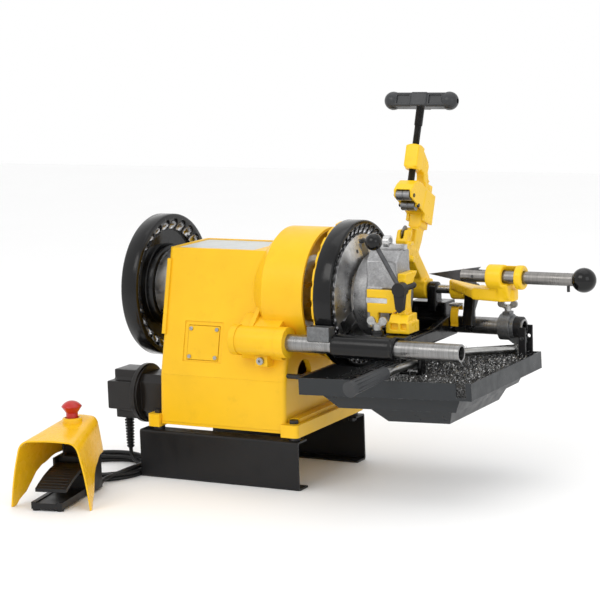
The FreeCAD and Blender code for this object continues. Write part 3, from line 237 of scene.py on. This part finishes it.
def moulded(name, colour, rough, grain, coat=0.0, radius=0.001):
    """Moulded plastic or rubber: fine grain, slow drift and a little dust."""
    g = Graph(name)
    base = g.ramp(g.noise(12.0, 4.0), [(0.3, shade(colour, 0.85)), (0.7, shade(colour, 1.15))])
    dust = g.span(g.noise(35.0, 8.0, 0.7), 0.55, 0.8, 0.0, 0.3)
    base = g.mix(dust, base, tuple(c * 0.9 + 0.012 for c in colour))
    normal, mask = g.edges(radius)
    base = g.mix(g.maths("MULTIPLY", mask, 0.25), base, tuple(c * 1.3 + 0.015 for c in colour))
    normal = g.bump(g.noise(grain, 2.0), 0.25, 0.0003, normal)
    roughness = g.span(g.noise(25.0, 5.0), 0.3, 0.7, rough - 0.08, rough + 0.12)
    return g.out(base, roughness, normal, coat=coat, gloss=0.28)


def threaded():
    """Black screw: its thread is rings of height along the leaning axis."""
    g = Graph("screw_thread")
    base = g.ramp(g.noise(60.0, 4.0), [(0.3, (0.006, 0.006, 0.006)), (0.7, (0.022, 0.022, 0.023))])
    lean = g.add("ShaderNodeMapping", vector_type="POINT")
    lean.inputs["Rotation"].default_value = (LEAN, 0.0, 0.0)
    g.link(g.coords, lean.inputs["Vector"])
    wave = g.add("ShaderNodeTexWave", wave_type="BANDS", bands_direction="Z", wave_profile="SAW")
    wave.inputs["Scale"].default_value = 140.0
    g.link(lean.outputs["Vector"], wave.inputs["Vector"])
    black, white = (0.0, 0.0, 0.0), (1.0, 1.0, 1.0)
    height = g.ramp(wave.outputs["Fac"], [(0.0, black), (0.5, white), (1.0, black)])
    return g.out(base, 0.3, g.bump(height, 0.9, 0.0012), 0.5)


def chip_metal():
    """Loose swarf: each chip somewhere between dark and bright."""
    g = Graph("chip_metal")
    tone = g.noise(260.0, 3.0, 0.7)
    base = g.ramp(tone, [(0.38, (0.03, 0.03, 0.03)), (0.5, (0.22, 0.22, 0.22)), (0.62, (0.85, 0.85, 0.84))])
    return g.out(base, g.span(tone, 0.3, 0.7, 0.5, 0.22), g.bump(g.noise(900.0, 2.0), 0.3, 0.0003), 1.0)


def chip_bed():
    """The bed under the loose chips, coarse and dark between them."""
    g = Graph("chip_bed")
    tone = g.noise(330.0, 5.0, 0.8)
    # the colour follows the bump's height: near black in its low parts is painted shade between the chips,
    # pale metal on the tops
    base = g.ramp(tone, [(0.42, (0.008, 0.008, 0.008)), (0.55, (0.10, 0.10, 0.10)), (0.68, (0.6, 0.6, 0.6))])
    return g.out(base, 0.45, g.bump(tone, 1.0, 0.004), 0.8)


# colours are linear
YELLOW = (0.86, 0.50, 0.012)
TOOL_YELLOW = (0.87, 0.54, 0.014)
mats = {
    "housing": painted("housing_paint", YELLOW, 0.36),
    "sheet": painted("guard_paint", YELLOW, 0.26, 120.0, 0.0002, dirt=0.86),
    "tool": painted("tool_paint", TOOL_YELLOW, 0.30, 180.0, 0.0005, (0.5, 0.5, 0.48), 0.5),
    "enamel": painted("black_enamel", (0.003, 0.003, 0.0034), 0.16, 150.0, 0.0006, (0.10, 0.10, 0.10),
                      0.3, 0.9, 0.002, 0.12),
    "tray": painted("tray_paint", (0.024, 0.027, 0.030), 0.34, 200.0, 0.0003, (0.22, 0.22, 0.22), 0.9, 0.6),
    "black_sheet": painted("black_sheet", (0.008, 0.008, 0.009), 0.42, 200.0, 0.0003, (0.12, 0.12, 0.12),
                           0.6),
    "panel": painted("panel_paint", (0.55, 0.57, 0.56), 0.4, 90.0, 0.0002, (0.7, 0.7, 0.7), 0.4),
    "tube": steel("drawn_steel", (0.27, 0.268, 0.266), 0.3, 0.06, 300.0),
    "bright": steel("bright_steel", (0.42, 0.42, 0.41), 0.28),
    "zinc": cast_metal("zinc_plate", (0.40, 0.40, 0.39), 0.32, 0.0003),
    "turned": steel("turned_steel", (0.58, 0.58, 0.58), 0.3, 0.06),
    # grey metal for the hand wheels' hollows, brighter than their black enamel: painted reflection standing
    # in for the enamel's sheen
    "pocket": steel("hollow_painted_sheen", (0.42, 0.42, 0.43), 0.12, 0.1),
    "die": cast_metal("die_head_zinc", (0.36, 0.36, 0.365), 0.36, 0.0003),
    "dark": steel("dark_steel", (0.06, 0.06, 0.063), 0.4),
    "gun": steel("blued_steel", (0.10, 0.10, 0.105), 0.34),
    "hard": steel("hard_steel", (0.24, 0.24, 0.245), 0.32),
    "rod": steel("oiled_rod", (0.26, 0.25, 0.24), 0.3, 0.45, 900.0),
    "cast": cast_metal("cast_grey", (0.17, 0.175, 0.18)),
    "motor": moulded("motor_shell", (0.009, 0.0075, 0.007), 0.34, 600.0, 0.15, 0.002),
    "handle": moulded("handle_plastic", (0.035, 0.037, 0.040), 0.36, 500.0, 0.1, 0.002),
    "grip": moulded("grip_rubber", (0.045, 0.047, 0.050), 0.5, 400.0),
    "ball": moulded("ball_knob", (0.003, 0.003, 0.0032), 0.1, 90.0, 0.12),
    "rubber": moulded("black_rubber", (0.010, 0.010, 0.0105), 0.55, 500.0),
    "plastic": moulded("black_plastic", (0.011, 0.0105, 0.011), 0.38, 800.0),
    "red": moulded("red_plastic", (0.48, 0.016, 0.012), 0.28, 300.0, 0.4),
    "cable": moulded("cable_jacket", (0.010, 0.010, 0.0105), 0.34, 900.0),
    "screw": threaded(),
    "chips": chip_metal(),
    "bed": chip_bed(),
}

LOOKS = {
    "housing": ["base_casting", "gear_housing", "access_cover", "chuck_rear_disc"],
    "motor": ["motor_body", "motor_end_cap"],
    "grip": ["lever_grip"],
    "sheet": ["foot_switch_guard", "carrier_guard"],
    "tool": ["cutter_frame", "cutter_slide", "reamer_arm", "die_head_holder"],
    "screw": ["cutter_handle"],
    "enamel": ["chuck_ring", "rear_wheel", "tool_carrier"],
    "tray": ["oil_tray", "chip_screen"],
    "black_sheet": ["foot_channels", "clamp_fork"],
    "panel": ["top_panel"],
    "tube": ["front_guide_tube", "rear_guide_tube"],
    "bright": ["tool_pin", "feed_lever"],
    "rod": ["reamer_rod"],
    "gun": ["die_closing_lever", "reamer_blade"],
    "turned": ["chuck_body", "spindle_tube", "spindle_bearings", "rear_jaw_plate", "die_adjusting_bar"],
    "zinc": ["clamp_wing_nut", "die_wing_screw", "housing_screws"],
    "dark": ["mounting_bolts", "motor_rotor", "idler_gear"],
    "hard": ["chuck_jaw_1", "chuck_jaw_2", "chuck_jaw_3", "rear_jaw_1", "rear_jaw_2", "rear_jaw_3",
             "thread_dies", "cutter_roller_1", "cutter_roller_2", "cutter_wheel"],
    "cast": ["stop_saddle", "clamp_ring"],
    "bed": ["swarf_bed"],
    "die": ["die_head_body"],
    "rubber": ["motor_strain_relief"],
    "plastic": ["foot_switch_base", "foot_pedal"],
    "red": ["emergency_button"],
    "cable": ["cable_coil", "switch_cable"],
}
for look, names in LOOKS.items():
    for name in names:
        mesh = nodes[name].data
        mesh.materials.clear()
        mesh.materials.append(mats[look])


# ------------------------------------------------------------------ second finish on part of a node
def second_finish(name, look, chosen):
    """Gives look to the node's faces whose middle is chosen."""
    mesh = nodes[name].data
    mesh.materials.append(mats[look])
    index = len(mesh.materials) - 1
    for face in mesh.polygons:
        if chosen(face.center):
            face.material_index = index


SCREW_FOOT = at(*CUTTER)
SCREW_UP = Vector((0.0, math.sin(LEAN), math.cos(LEAN)))
HANDLE_START = 0.1635                            # along the screw; these places are in metres
LEVER_BALL, LEVER_BALL_R = at(347, -104, 504), 0.0176
LEVER_HUB_TOP = 0.428                            # height
REAMER_BALL, REAMER_BALL_R = at(738, 9.5, 428), 0.0246
STOP_PIN = at(706, 9.5, 414.5)                   # where the pin meets the rod
BRACKET_Z = 0.3455                               # height where the guard's bracket starts
second_finish("die_closing_lever", "ball", lambda c: (c - LEVER_BALL).length < LEVER_BALL_R)
second_finish("die_closing_lever", "plastic", lambda c: c.z < LEVER_HUB_TOP)
second_finish("reamer_rod", "ball", lambda c: (c - REAMER_BALL).length < REAMER_BALL_R)
second_finish("reamer_rod", "dark", lambda c: abs(c.x - STOP_PIN.x) < 0.004 and c.z < STOP_PIN.z)
second_finish("carrier_guard", "zinc", lambda c: c.z > BRACKET_Z)
second_finish("cutter_handle", "handle", lambda c: (c - SCREW_FOOT).dot(SCREW_UP) > HANDLE_START)


# ------------------------------------------------------------------ pieces and the bodies they ride on
def new_piece(name, mesh_or_curve, look, body):
    """An object in the scene that rides on body."""
    obj = bpy.data.objects.new(name, mesh_or_curve)
    bpy.context.scene.collection.objects.link(obj)
    obj.data.materials.append(mats[look])
    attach(obj, body)
    return obj


def carried(name):
    """The body that a node rides on."""
    return next(body for body, held in frame["record"]["behaviour"]["bodies"].items() if name in held)


def bake(obj):
    """Applies the object's modifiers to its mesh."""
    bpy.context.view_layer.update()
    final = bpy.data.meshes.new_from_object(obj.evaluated_get(bpy.context.evaluated_depsgraph_get()))
    old = obj.data
    obj.modifiers.clear()
    obj.data = final
    if old.users == 0:
        bpy.data.meshes.remove(old)


# ------------------------------------------------------------------ castings with rounded edges
def soften(name, look, voxel, passes):
    """A cast piece: the node's own shape, remade in voxels of so many millimetres and smoothed over."""
    mesh = nodes[name].data.copy()
    mesh.materials.clear()
    mesh.materials.append(mats[look])
    obj = bpy.data.objects.new(name + "_cast", mesh)
    bpy.context.scene.collection.objects.link(obj)
    obj.modifiers.new("weld", "WELD").merge_threshold = 0.00001
    remesh = obj.modifiers.new("remesh", "REMESH")
    remesh.mode = "VOXEL"
    remesh.voxel_size = voxel / 1000.0
    smooth = obj.modifiers.new("smooth", "SMOOTH")
    smooth.factor = 0.5
    smooth.iterations = passes
    obj.modifiers.new("thin", "DECIMATE").ratio = 0.5
    bake(obj)
    for face in obj.data.polygons:
        face.use_smooth = True
    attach(obj, carried(name))
    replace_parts(obj, name)


CASTINGS = {
    "cutter_frame": ("tool", 1.3, 18),
    "cutter_slide": ("tool", 1.1, 9),
    "reamer_arm": ("tool", 1.5, 34),
    "die_head_holder": ("tool", 1.0, 12),
    "tool_carrier": ("enamel", 1.8, 6),
    "motor_end_cap": ("motor", 1.5, 16),
    "stop_saddle": ("cast", 1.3, 4),
    "die_head_body": ("die", 1.3, 4),
}
for name, (look, voxel, passes) in CASTINGS.items():
    soften(name, look, voxel, passes)


# ------------------------------------------------------------------ lathe and hand wheels
def smoothed(data, angle):
    """Smooth shading, with edges sharper than angle kept sharp."""
    for face in data.polygons:
        face.use_smooth = True
    data.set_sharp_from_angle(angle=math.radians(angle))


def mesh_data(mesh, name):
    """The bmesh as mesh data, with its normals pointing one way."""
    bmesh.ops.recalc_face_normals(mesh, faces=mesh.faces)
    data = bpy.data.meshes.new(name)
    mesh.to_mesh(data)
    mesh.free()
    return data


def finished(name, look, body, mesh, angle=35.0):
    """The bmesh as a smooth piece that rides on body."""
    data = mesh_data(mesh, name)
    smoothed(data, angle)
    return new_piece(name, data, look, body)


def lathe(name, look, body, outline, centre, axis, steps):
    """Closed surface of revolution: outline lists (distance along the axis, radius), in millimetres."""
    up = Vector(axis).normalized()
    side = up.orthogonal().normalized()
    cross = up.cross(side)
    mesh = bmesh.new()
    rings = []
    for along, radius in outline:
        ring = []
        for k in range(steps):
            a = math.tau * k / steps
            place = up * along + (side * math.cos(a) + cross * math.sin(a)) * radius
            ring.append(mesh.verts.new(centre + place / 1000.0))
        rings.append(ring)
    for low, high in zip(rings, rings[1:]):
        for k in range(steps):
            mesh.faces.new((low[k], low[(k + 1) % steps], high[(k + 1) % steps], high[k]))
    mesh.faces.new(list(reversed(rings[0])))
    mesh.faces.new(rings[-1])
    return finished(name, look, body, mesh)


def plain(*points):
    """Points of a wheel's section that don't sink into its hollows."""
    return [(x, radius, False) for x, radius in points]


def hand_wheel(name, look, body, section, pockets, depth, span):
    """A ring about the spindle whose face has polished hollows all the way round.

    section lists (x, radius, sinks) round the section, in millimetres. The points that sink make as many
    hollows as pockets says, up to depth deep, over the radii in span. Their grey metal finish is painted
    sheen.
    """
    steps = 840
    mesh = bmesh.new()
    rings, hollow = [], set()
    for x, radius, sinks in section:
        across = 2.0 * (radius - span[0]) / (span[1] - span[0]) - 1.0
        ring = []
        for k in range(steps):
            a = math.tau * k / steps
            along = 2.0 * ((a * pockets / math.tau) % 1.0) - 1.0
            room = 1.0 - (across * across + along * along * 1.25)
            drop = depth * math.sqrt(room) if sinks and room > 0 else 0.0
            y, z = radius * math.sin(a), SPINDLE_HEIGHT + radius * math.cos(a)
            ring.append(mesh.verts.new(at(x - drop, y, z)))
            if drop > 0.0:
                hollow.add(ring[-1])
        rings.append(ring)
    for low, high in zip(rings, rings[1:] + rings[:1]):
        for k in range(steps):
            corners = (low[k], low[(k + 1) % steps], high[(k + 1) % steps], high[k])
            face = mesh.faces.new(corners)
            # faces inside the hollows take the second finish, a bright grey metal that paints in the glossy
            # enamel's sheen
            face.material_index = int(all(corner in hollow for corner in corners))
    wheel = finished(name, look, body, mesh, 50.0)
    wheel.data.materials.append(mats["pocket"])
    return wheel


# front ring: x 231 to 270, radius 149, its face leaning back to the chuck's plate
ring_face = [(270.0 - 9.0 * (141.0 - r) / 20.0, r, True) for r in [140.6 - 0.8 * k for k in range(25)]]
ring_section = plain((231.0, 121.3), (231.0, 146.0), (231.9, 148.1), (234.0, 149.0), (266.0, 149.0),
                     (268.4, 148.2), (269.7, 146.2), (270.0, 144.0), (270.0, 141.4))
ring_section += ring_face + plain((261.0, 121.2))
front_ring = hand_wheel("front_hand_ring", "enamel", carried("chuck_ring"), ring_section, 42, 9.0,
                        (119.5, 142.0))
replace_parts(front_ring, "chuck_ring")

# rear wheel: x -218 to -180, radius 150, with a hub towards the housing
rear_face = [(-189.0 + 9.0 * (r - 117.0) / 22.0, r, True) for r in [138.6 - 0.8 * k for k in range(27)]]
rear_section = plain((-206.0, 119.0), (-216.5, 119.0), (-218.0, 121.0), (-218.0, 144.0), (-217.0, 148.0),
                     (-214.0, 150.0), (-184.0, 150.0), (-181.2, 149.0), (-180.2, 146.5), (-180.0, 140.0))
rear_section += rear_face
rear_section += plain((-189.5, 117.4), (-196.0, 116.5), (-197.0, 88.0), (-194.0, 86.0), (-182.0, 85.0),
                      (-180.5, 83.5), (-180.2, 64.0), (-206.0, 64.0))
rear_ring = hand_wheel("rear_hand_wheel", "enamel", carried("rear_wheel"), rear_section, 26, 12.0,
                       (112.0, 139.5))
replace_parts(rear_ring, "rear_wheel")


# ------------------------------------------------------------------ ends of the cutter's roller pins
def at_cutter(x, u, v):
    """Point v along the leaning screw and u across it, towards the back."""
    y = CUTTER[1] + v * math.sin(LEAN) + u * math.cos(LEAN)
    z = CUTTER[2] + v * math.cos(LEAN) - u * math.sin(LEAN)
    return at(CUTTER[0] + x, y, z)


for number, (u, v) in enumerate(ROLLERS, 1):
    for side, sign in (("left", -1), ("right", 1)):
        lathe("roller_pin_%d_%s" % (number, side), "dark", carried("cutter_slide"),
              [(-2.0, 4.1), (1.6, 4.1), (2.2, 3.5), (2.2, 1.4), (1.4, 1.2)],
              at_cutter(20.4 * sign, u, v), (sign, 0, 0), 32)


# ------------------------------------------------------------------ strain relief with fins
def boot():
    """Tapered boot round the cable, with fins and a collar under the motor's cap."""
    outline = [(0.0, 4.6), (0.4, 6.2)]
    fins = 10
    for k in range(fins):
        low = 2.0 + 6.3 * k
        core, rim = 5.6 + 0.14 * k, 8.0 + 0.24 * k
        outline += [(low, core), (low + 0.4, rim), (low + 3.0, rim + 0.1), (low + 3.4, core + 0.1)]
    outline += [(65.5, 7.2), (66.0, 9.9), (71.0, 10.0)]
    return lathe("cable_boot", "rubber", "machine_frame", outline, at(*CABLE_EXIT), (0, 0, 1), 48)


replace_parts(boot(), "motor_strain_relief")


# ------------------------------------------------------------------ foot switch guard
def at_switch(x, y, z):
    """Place in the row frame of a place on the foot switch, which is turned on the floor."""
    c, s = math.cos(SWITCH_TURN), math.sin(SWITCH_TURN)
    return at(SWITCH_X + x * c - y * s, SWITCH_Y + x * s + y * c, z)


def smooth_step(share):
    """0 to 1 with a soft start and end."""
    return share * share * (3.0 - 2.0 * share)


def smooth_line(points, where):
    """Height on a smooth line through points at where."""
    for (a, low), (b, high) in zip(points, points[1:]):
        if where <= b:
            share = max(0.0, (where - a) / (b - a))
            return low + (high - low) * smooth_step(share)
    return points[-1][1]


GUARD_DEPTH, GUARD_BACK = 178.0, 166.0           # the guard tapers in behind GUARD_BACK
GUARD_WALL = 0.0032                              # metres
HEM = [(0, 0.6), (10, 0.6), (30, 16), (92, 66), (140, 79), (178, 79)]        # (depth, height)


def guard_section(y):
    """Left leg, top and right leg of the guard at depth y, as (x, z) from one hem to the other."""
    depth = y / GUARD_DEPTH
    top = 136.0 + 18.0 * depth
    half_top, half_low = 60.0 - 28.0 * depth, 86.0 - 38.0 * depth
    hem = smooth_line(HEM, y)
    corner = 24.0 - 6.0 * depth

    def leg(z):
        share = z / top
        return half_low + (half_top - half_low) * share + 3.5 * math.sin(math.pi * share)

    heights = [hem + (top - corner - hem) * k / 12 for k in range(13)]
    right = [(leg(z), z) for z in heights]
    x0, z0 = right[-1]
    x1 = half_top - corner + 2.0
    for k in range(1, 9):
        t = k / 8
        right.append(((1 - t) ** 2 * x0 + 2 * t * (1 - t) * (half_top + 1.2) + t * t * x1,
                      (1 - t) ** 2 * z0 + 2 * t * (1 - t) * top + t * t * top))
    crown = [(x1 * (1 - k / 5), top + 1.2 * math.sin(math.pi / 2 * k / 5)) for k in range(1, 6)]
    half = right + crown
    return [(-x, z) for x, z in half] + [(x, z) for x, z in reversed(half[:-1])]


def guard():
    """Bent sheet over the pedal, closed at its back."""
    mesh = bmesh.new()
    stations = [0, 3, 8, 14, 22, 32, 44, 58, 74, 92, 110, 126, 140, 154, 166, 173, 176.5]
    rows = []
    for y in stations:
        shrink = max(0.0, (y - GUARD_BACK) / 11.0) ** 2 * 3.0
        rows.append([mesh.verts.new(at_switch(x * (1 - shrink / 60.0), y, z - (shrink if z > 100 else 0.0)))
                     for x, z in guard_section(y)])
    for a, b in zip(rows, rows[1:]):
        for k in range(len(a) - 1):
            mesh.faces.new((a[k], a[k + 1], b[k + 1], b[k]))
    last = rows[-1]
    middle = len(last) // 2
    for k in range(middle - 1):
        mesh.faces.new((last[k], last[k + 1], last[-2 - k], last[-1 - k]))
    mesh.faces.new((last[middle - 1], last[middle], last[middle + 1]))
    obj = new_piece("switch_guard_shell", mesh_data(mesh, "guard"), "sheet", carried("foot_switch_guard"))
    wall = obj.modifiers.new("wall", "SOLIDIFY")
    wall.thickness = GUARD_WALL
    wall.offset = -1.0
    wall.use_even_offset = True
    bake(obj)
    smoothed(obj.data, 50.0)
    return obj


shell = guard()
lathe("guard_collar", "sheet", carried("foot_switch_guard"),
      [(0, 20.4), (12, 20.2), (15.2, 19.6), (17, 18.2), (17.6, 16.6), (17.4, 14.8), (11, 14.6)],
      at_switch(0, 124, 140.6), (0, 0, 1), 72)
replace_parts(shell, "foot_switch_guard")


# ------------------------------------------------------------------ cable: motor end, coil, foot switch end
CABLE_R = 4.25
INNER, OUTER = 83.4, 92.4                        # radii of the two rings of turns
LAYERS = (4.3, 12.9, 21.4)                       # heights of the three layers
PER_TURN = 14                                    # control points
SPREAD = 4.0 / (3.0 + math.cos(math.tau / PER_TURN))     # the spline runs inside its control points


def round_coil(angle, radius, z):
    """Place at an angle in degrees round the coil's middle."""
    a = math.radians(angle)
    return at(COIL_X + radius * math.cos(a), COIL_Y + radius * math.sin(a), z)


def eased(turns, start, end, low, high):
    """low before start, high after end, smooth between them."""
    share = min(1.0, max(0.0, (turns - start) / (end - start)))
    return low + (high - low) * smooth_step(share)


def coil_turn(turns):
    """Place on the coil after so many turns: it moves outward, up a layer, inward and up again."""
    radius = eased(turns, 0.86, 0.98, INNER, OUTER)
    z = eased(turns, 1.72, 1.86, LAYERS[0], LAYERS[1])
    radius = eased(turns, 2.55, 2.68, radius, INNER)
    radius = eased(turns, 3.4, 3.55, radius, 0.5 * (INNER + OUTER))
    z = eased(turns, 3.4, 3.55, z, LAYERS[2])
    wobble = 0.9 * math.sin(9.0 * turns) + 0.5 * math.sin(23.0 * turns)
    return round_coil(74.0 - 360.0 * turns, (radius + wobble) * SPREAD, z)


exit_x, exit_y, exit_z = CABLE_EXIT
route = [at(exit_x, exit_y, exit_z), at(exit_x, exit_y, exit_z - 11.0), round_coil(68, 74.5, 15),
         round_coil(54, 77, 7.0)]
route += [coil_turn(0.1 + k / PER_TURN) for k in range(58)]
route += [round_coil(-17, 90, 21.4), round_coil(-32, 96.5, 20.0), at(-214, -211, 15), at(-221.5, -229, 11.2),
          at(-219.3, -246.2, 11)]
curve = bpy.data.curves.new("cable", "CURVE")
curve.dimensions = "3D"
curve.bevel_depth = CABLE_R / 1000.0
curve.bevel_resolution = 5
curve.resolution_u = 6
curve.use_fill_caps = True
spline = curve.splines.new("NURBS")
spline.points.add(len(route) - 1)
for point, place in zip(spline.points, route):
    point.co = (*place, 1.0)
spline.order_u = 3
spline.use_endpoint_u = True
cable = new_piece("switch_lead", curve, "cable", "machine_frame")
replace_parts(cable, "cable_coil", "switch_cable")


# ------------------------------------------------------------------ chips in the tray
TRAY_X, TRAY_Z, TRAY_TILT = 206.0, 238.0, math.radians(1.8)
PILED, SCATTERED = 5200, 420                     # how many chips
PRONG_X, PRONG_Y = (384, 510), (-108, -66)       # the carrier's prong sweeps the chips low here


def tray_top(x, level):
    """Height of the tilted plane that lies level millimetres above the tray's rim, below it if negative."""
    return TRAY_Z + level + (x - TRAY_X) * math.tan(TRAY_TILT)


def chip(mesh, centre, size):
    """One curled ribbon of swarf."""
    turn = Matrix.Rotation(random.uniform(0, math.tau), 3, "Z")
    turn = turn @ Matrix.Rotation(random.uniform(-0.9, 0.9), 3, "X")
    radius = random.uniform(0.5, 1.0) * size
    width = random.uniform(0.5, 1.1) * size
    sweep = random.uniform(2.0, 8.0)
    lead = random.uniform(0.3, 1.2) * size
    steps = max(4, int(sweep * 1.6))
    last = None
    for k in range(steps + 1):
        a = sweep * k / steps
        low = Vector((radius * math.cos(a), radius * math.sin(a), lead * a))
        pair = [mesh.verts.new(centre + (turn @ p) / 1000.0) for p in (low, low + Vector((0, 0, width)))]
        if last:
            mesh.faces.new((last[0], last[1], pair[1], pair[0]))
        last = pair


def chip_pile():
    """A deep pile in the tray's outer part and a thin scatter near the housing."""
    mesh = bmesh.new()
    for k in range(PILED):
        x, y = random.uniform(366, 570), random.uniform(-164, 174)
        sink = max(0.0, (404 - x) * 0.48)
        size = random.uniform(1.0, 2.4)
        if PRONG_X[0] < x < PRONG_X[1] and PRONG_Y[0] < y < PRONG_Y[1]:
            sink, size = sink + 11.0, 0.8
        chip(mesh, at(x, y, tray_top(x, -9.0 - sink + random.uniform(0.0, 4.5))), size)
    for k in range(SCATTERED):
        x, y = random.uniform(214, 368), random.uniform(-164, 174)
        chip(mesh, at(x, y, tray_top(x, -27.0 + random.uniform(0.0, 1.5))), random.uniform(0.8, 1.8))
    data = bpy.data.meshes.new("chips")
    mesh.to_mesh(data)
    mesh.free()
    new_piece("loose_chips", data, "chips", "machine_frame")


chip_pile()


# ------------------------------------------------------------------ floor, light and camera
FLOOR = 6.0                                      # metres from the middle to each side


def stage_floor():
    """Plain pale floor, as bright as the world behind it."""
    mesh = bpy.data.meshes.new("floor")
    mesh.from_pydata([(-FLOOR, -FLOOR, 0), (FLOOR, -FLOOR, 0), (FLOOR, FLOOR, 0), (-FLOOR, FLOOR, 0)], [],
                     [(0, 1, 2, 3)])
    floor = bpy.data.objects.new("floor", mesh)
    bpy.context.scene.collection.objects.link(floor)
    g = Graph("floor_paint")
    base = g.ramp(g.noise(3.0, 4.0), [(0.3, (0.955, 0.955, 0.955)), (0.7, (0.965, 0.965, 0.965))])
    mesh.materials.append(g.out(base, 0.6, g.bump(g.noise(120.0, 3.0), 0.05, 0.001)))


def area_light(name, place, target, size, power, colour):
    """Soft box at place that looks at target, in metres and watts."""
    light = bpy.data.lights.new(name, "AREA")
    light.shape = "RECTANGLE"
    light.size, light.size_y = size
    light.energy = power
    light.color = colour
    obj = bpy.data.objects.new(name, light)
    bpy.context.scene.collection.objects.link(obj)
    obj.location = place
    obj.rotation_euler = (Vector(target) - Vector(place)).to_track_quat("-Z", "Y").to_euler()


stage_floor()
area_light("key", (-0.6, -2.6, 2.6), (0, 0, 0.3), (2.2, 1.4), 26, (1.0, 0.98, 0.95))
area_light("fill", (2.8, -1.6, 1.6), (0, 0, 0.3), (1.6, 1.6), 10, (0.95, 0.98, 1.0))
area_light("top", (0.2, 0.4, 3.0), (0, 0, 0), (3.0, 2.0), 12, (1.0, 1.0, 1.0))
world = bpy.data.worlds.new("studio")
bpy.context.scene.world = world
world.use_nodes = True
world.node_tree.nodes["Background"].inputs["Color"].default_value = (1.0, 1.0, 1.0, 1.0)
world.node_tree.nodes["Background"].inputs["Strength"].default_value = 1.0
bpy.context.scene.view_settings.view_transform = "Standard"

SENSOR, LENS = 36.0, 126.066                     # millimetres
AZIMUTH, ELEVATION, ROLL = 28.64, 9.01, -1.96    # degrees
CAMERA_AT = (2165.7, -3741.4, 1039.1)
camera_data = bpy.data.cameras.new("camera")
camera_data.sensor_width = SENSOR
camera_data.lens = LENS
camera_data.clip_end = 50.0
camera = bpy.data.objects.new("camera", camera_data)
bpy.context.scene.collection.objects.link(camera)
az, el, roll = (math.radians(v) for v in (AZIMUTH, ELEVATION, ROLL))
look = Vector((-math.sin(az) * math.cos(el), math.cos(az) * math.cos(el), -math.sin(el)))
side = Vector((math.cos(az), math.sin(az), 0.0))
up = side.cross(look)
right = math.cos(roll) * side + math.sin(roll) * up
top = -math.sin(roll) * side + math.cos(roll) * up
turn = Matrix((right, top, -look)).transposed().to_4x4()
camera.matrix_world = Matrix.Translation(at(*CAMERA_AT)) @ turn
bpy.context.scene.camera = camera
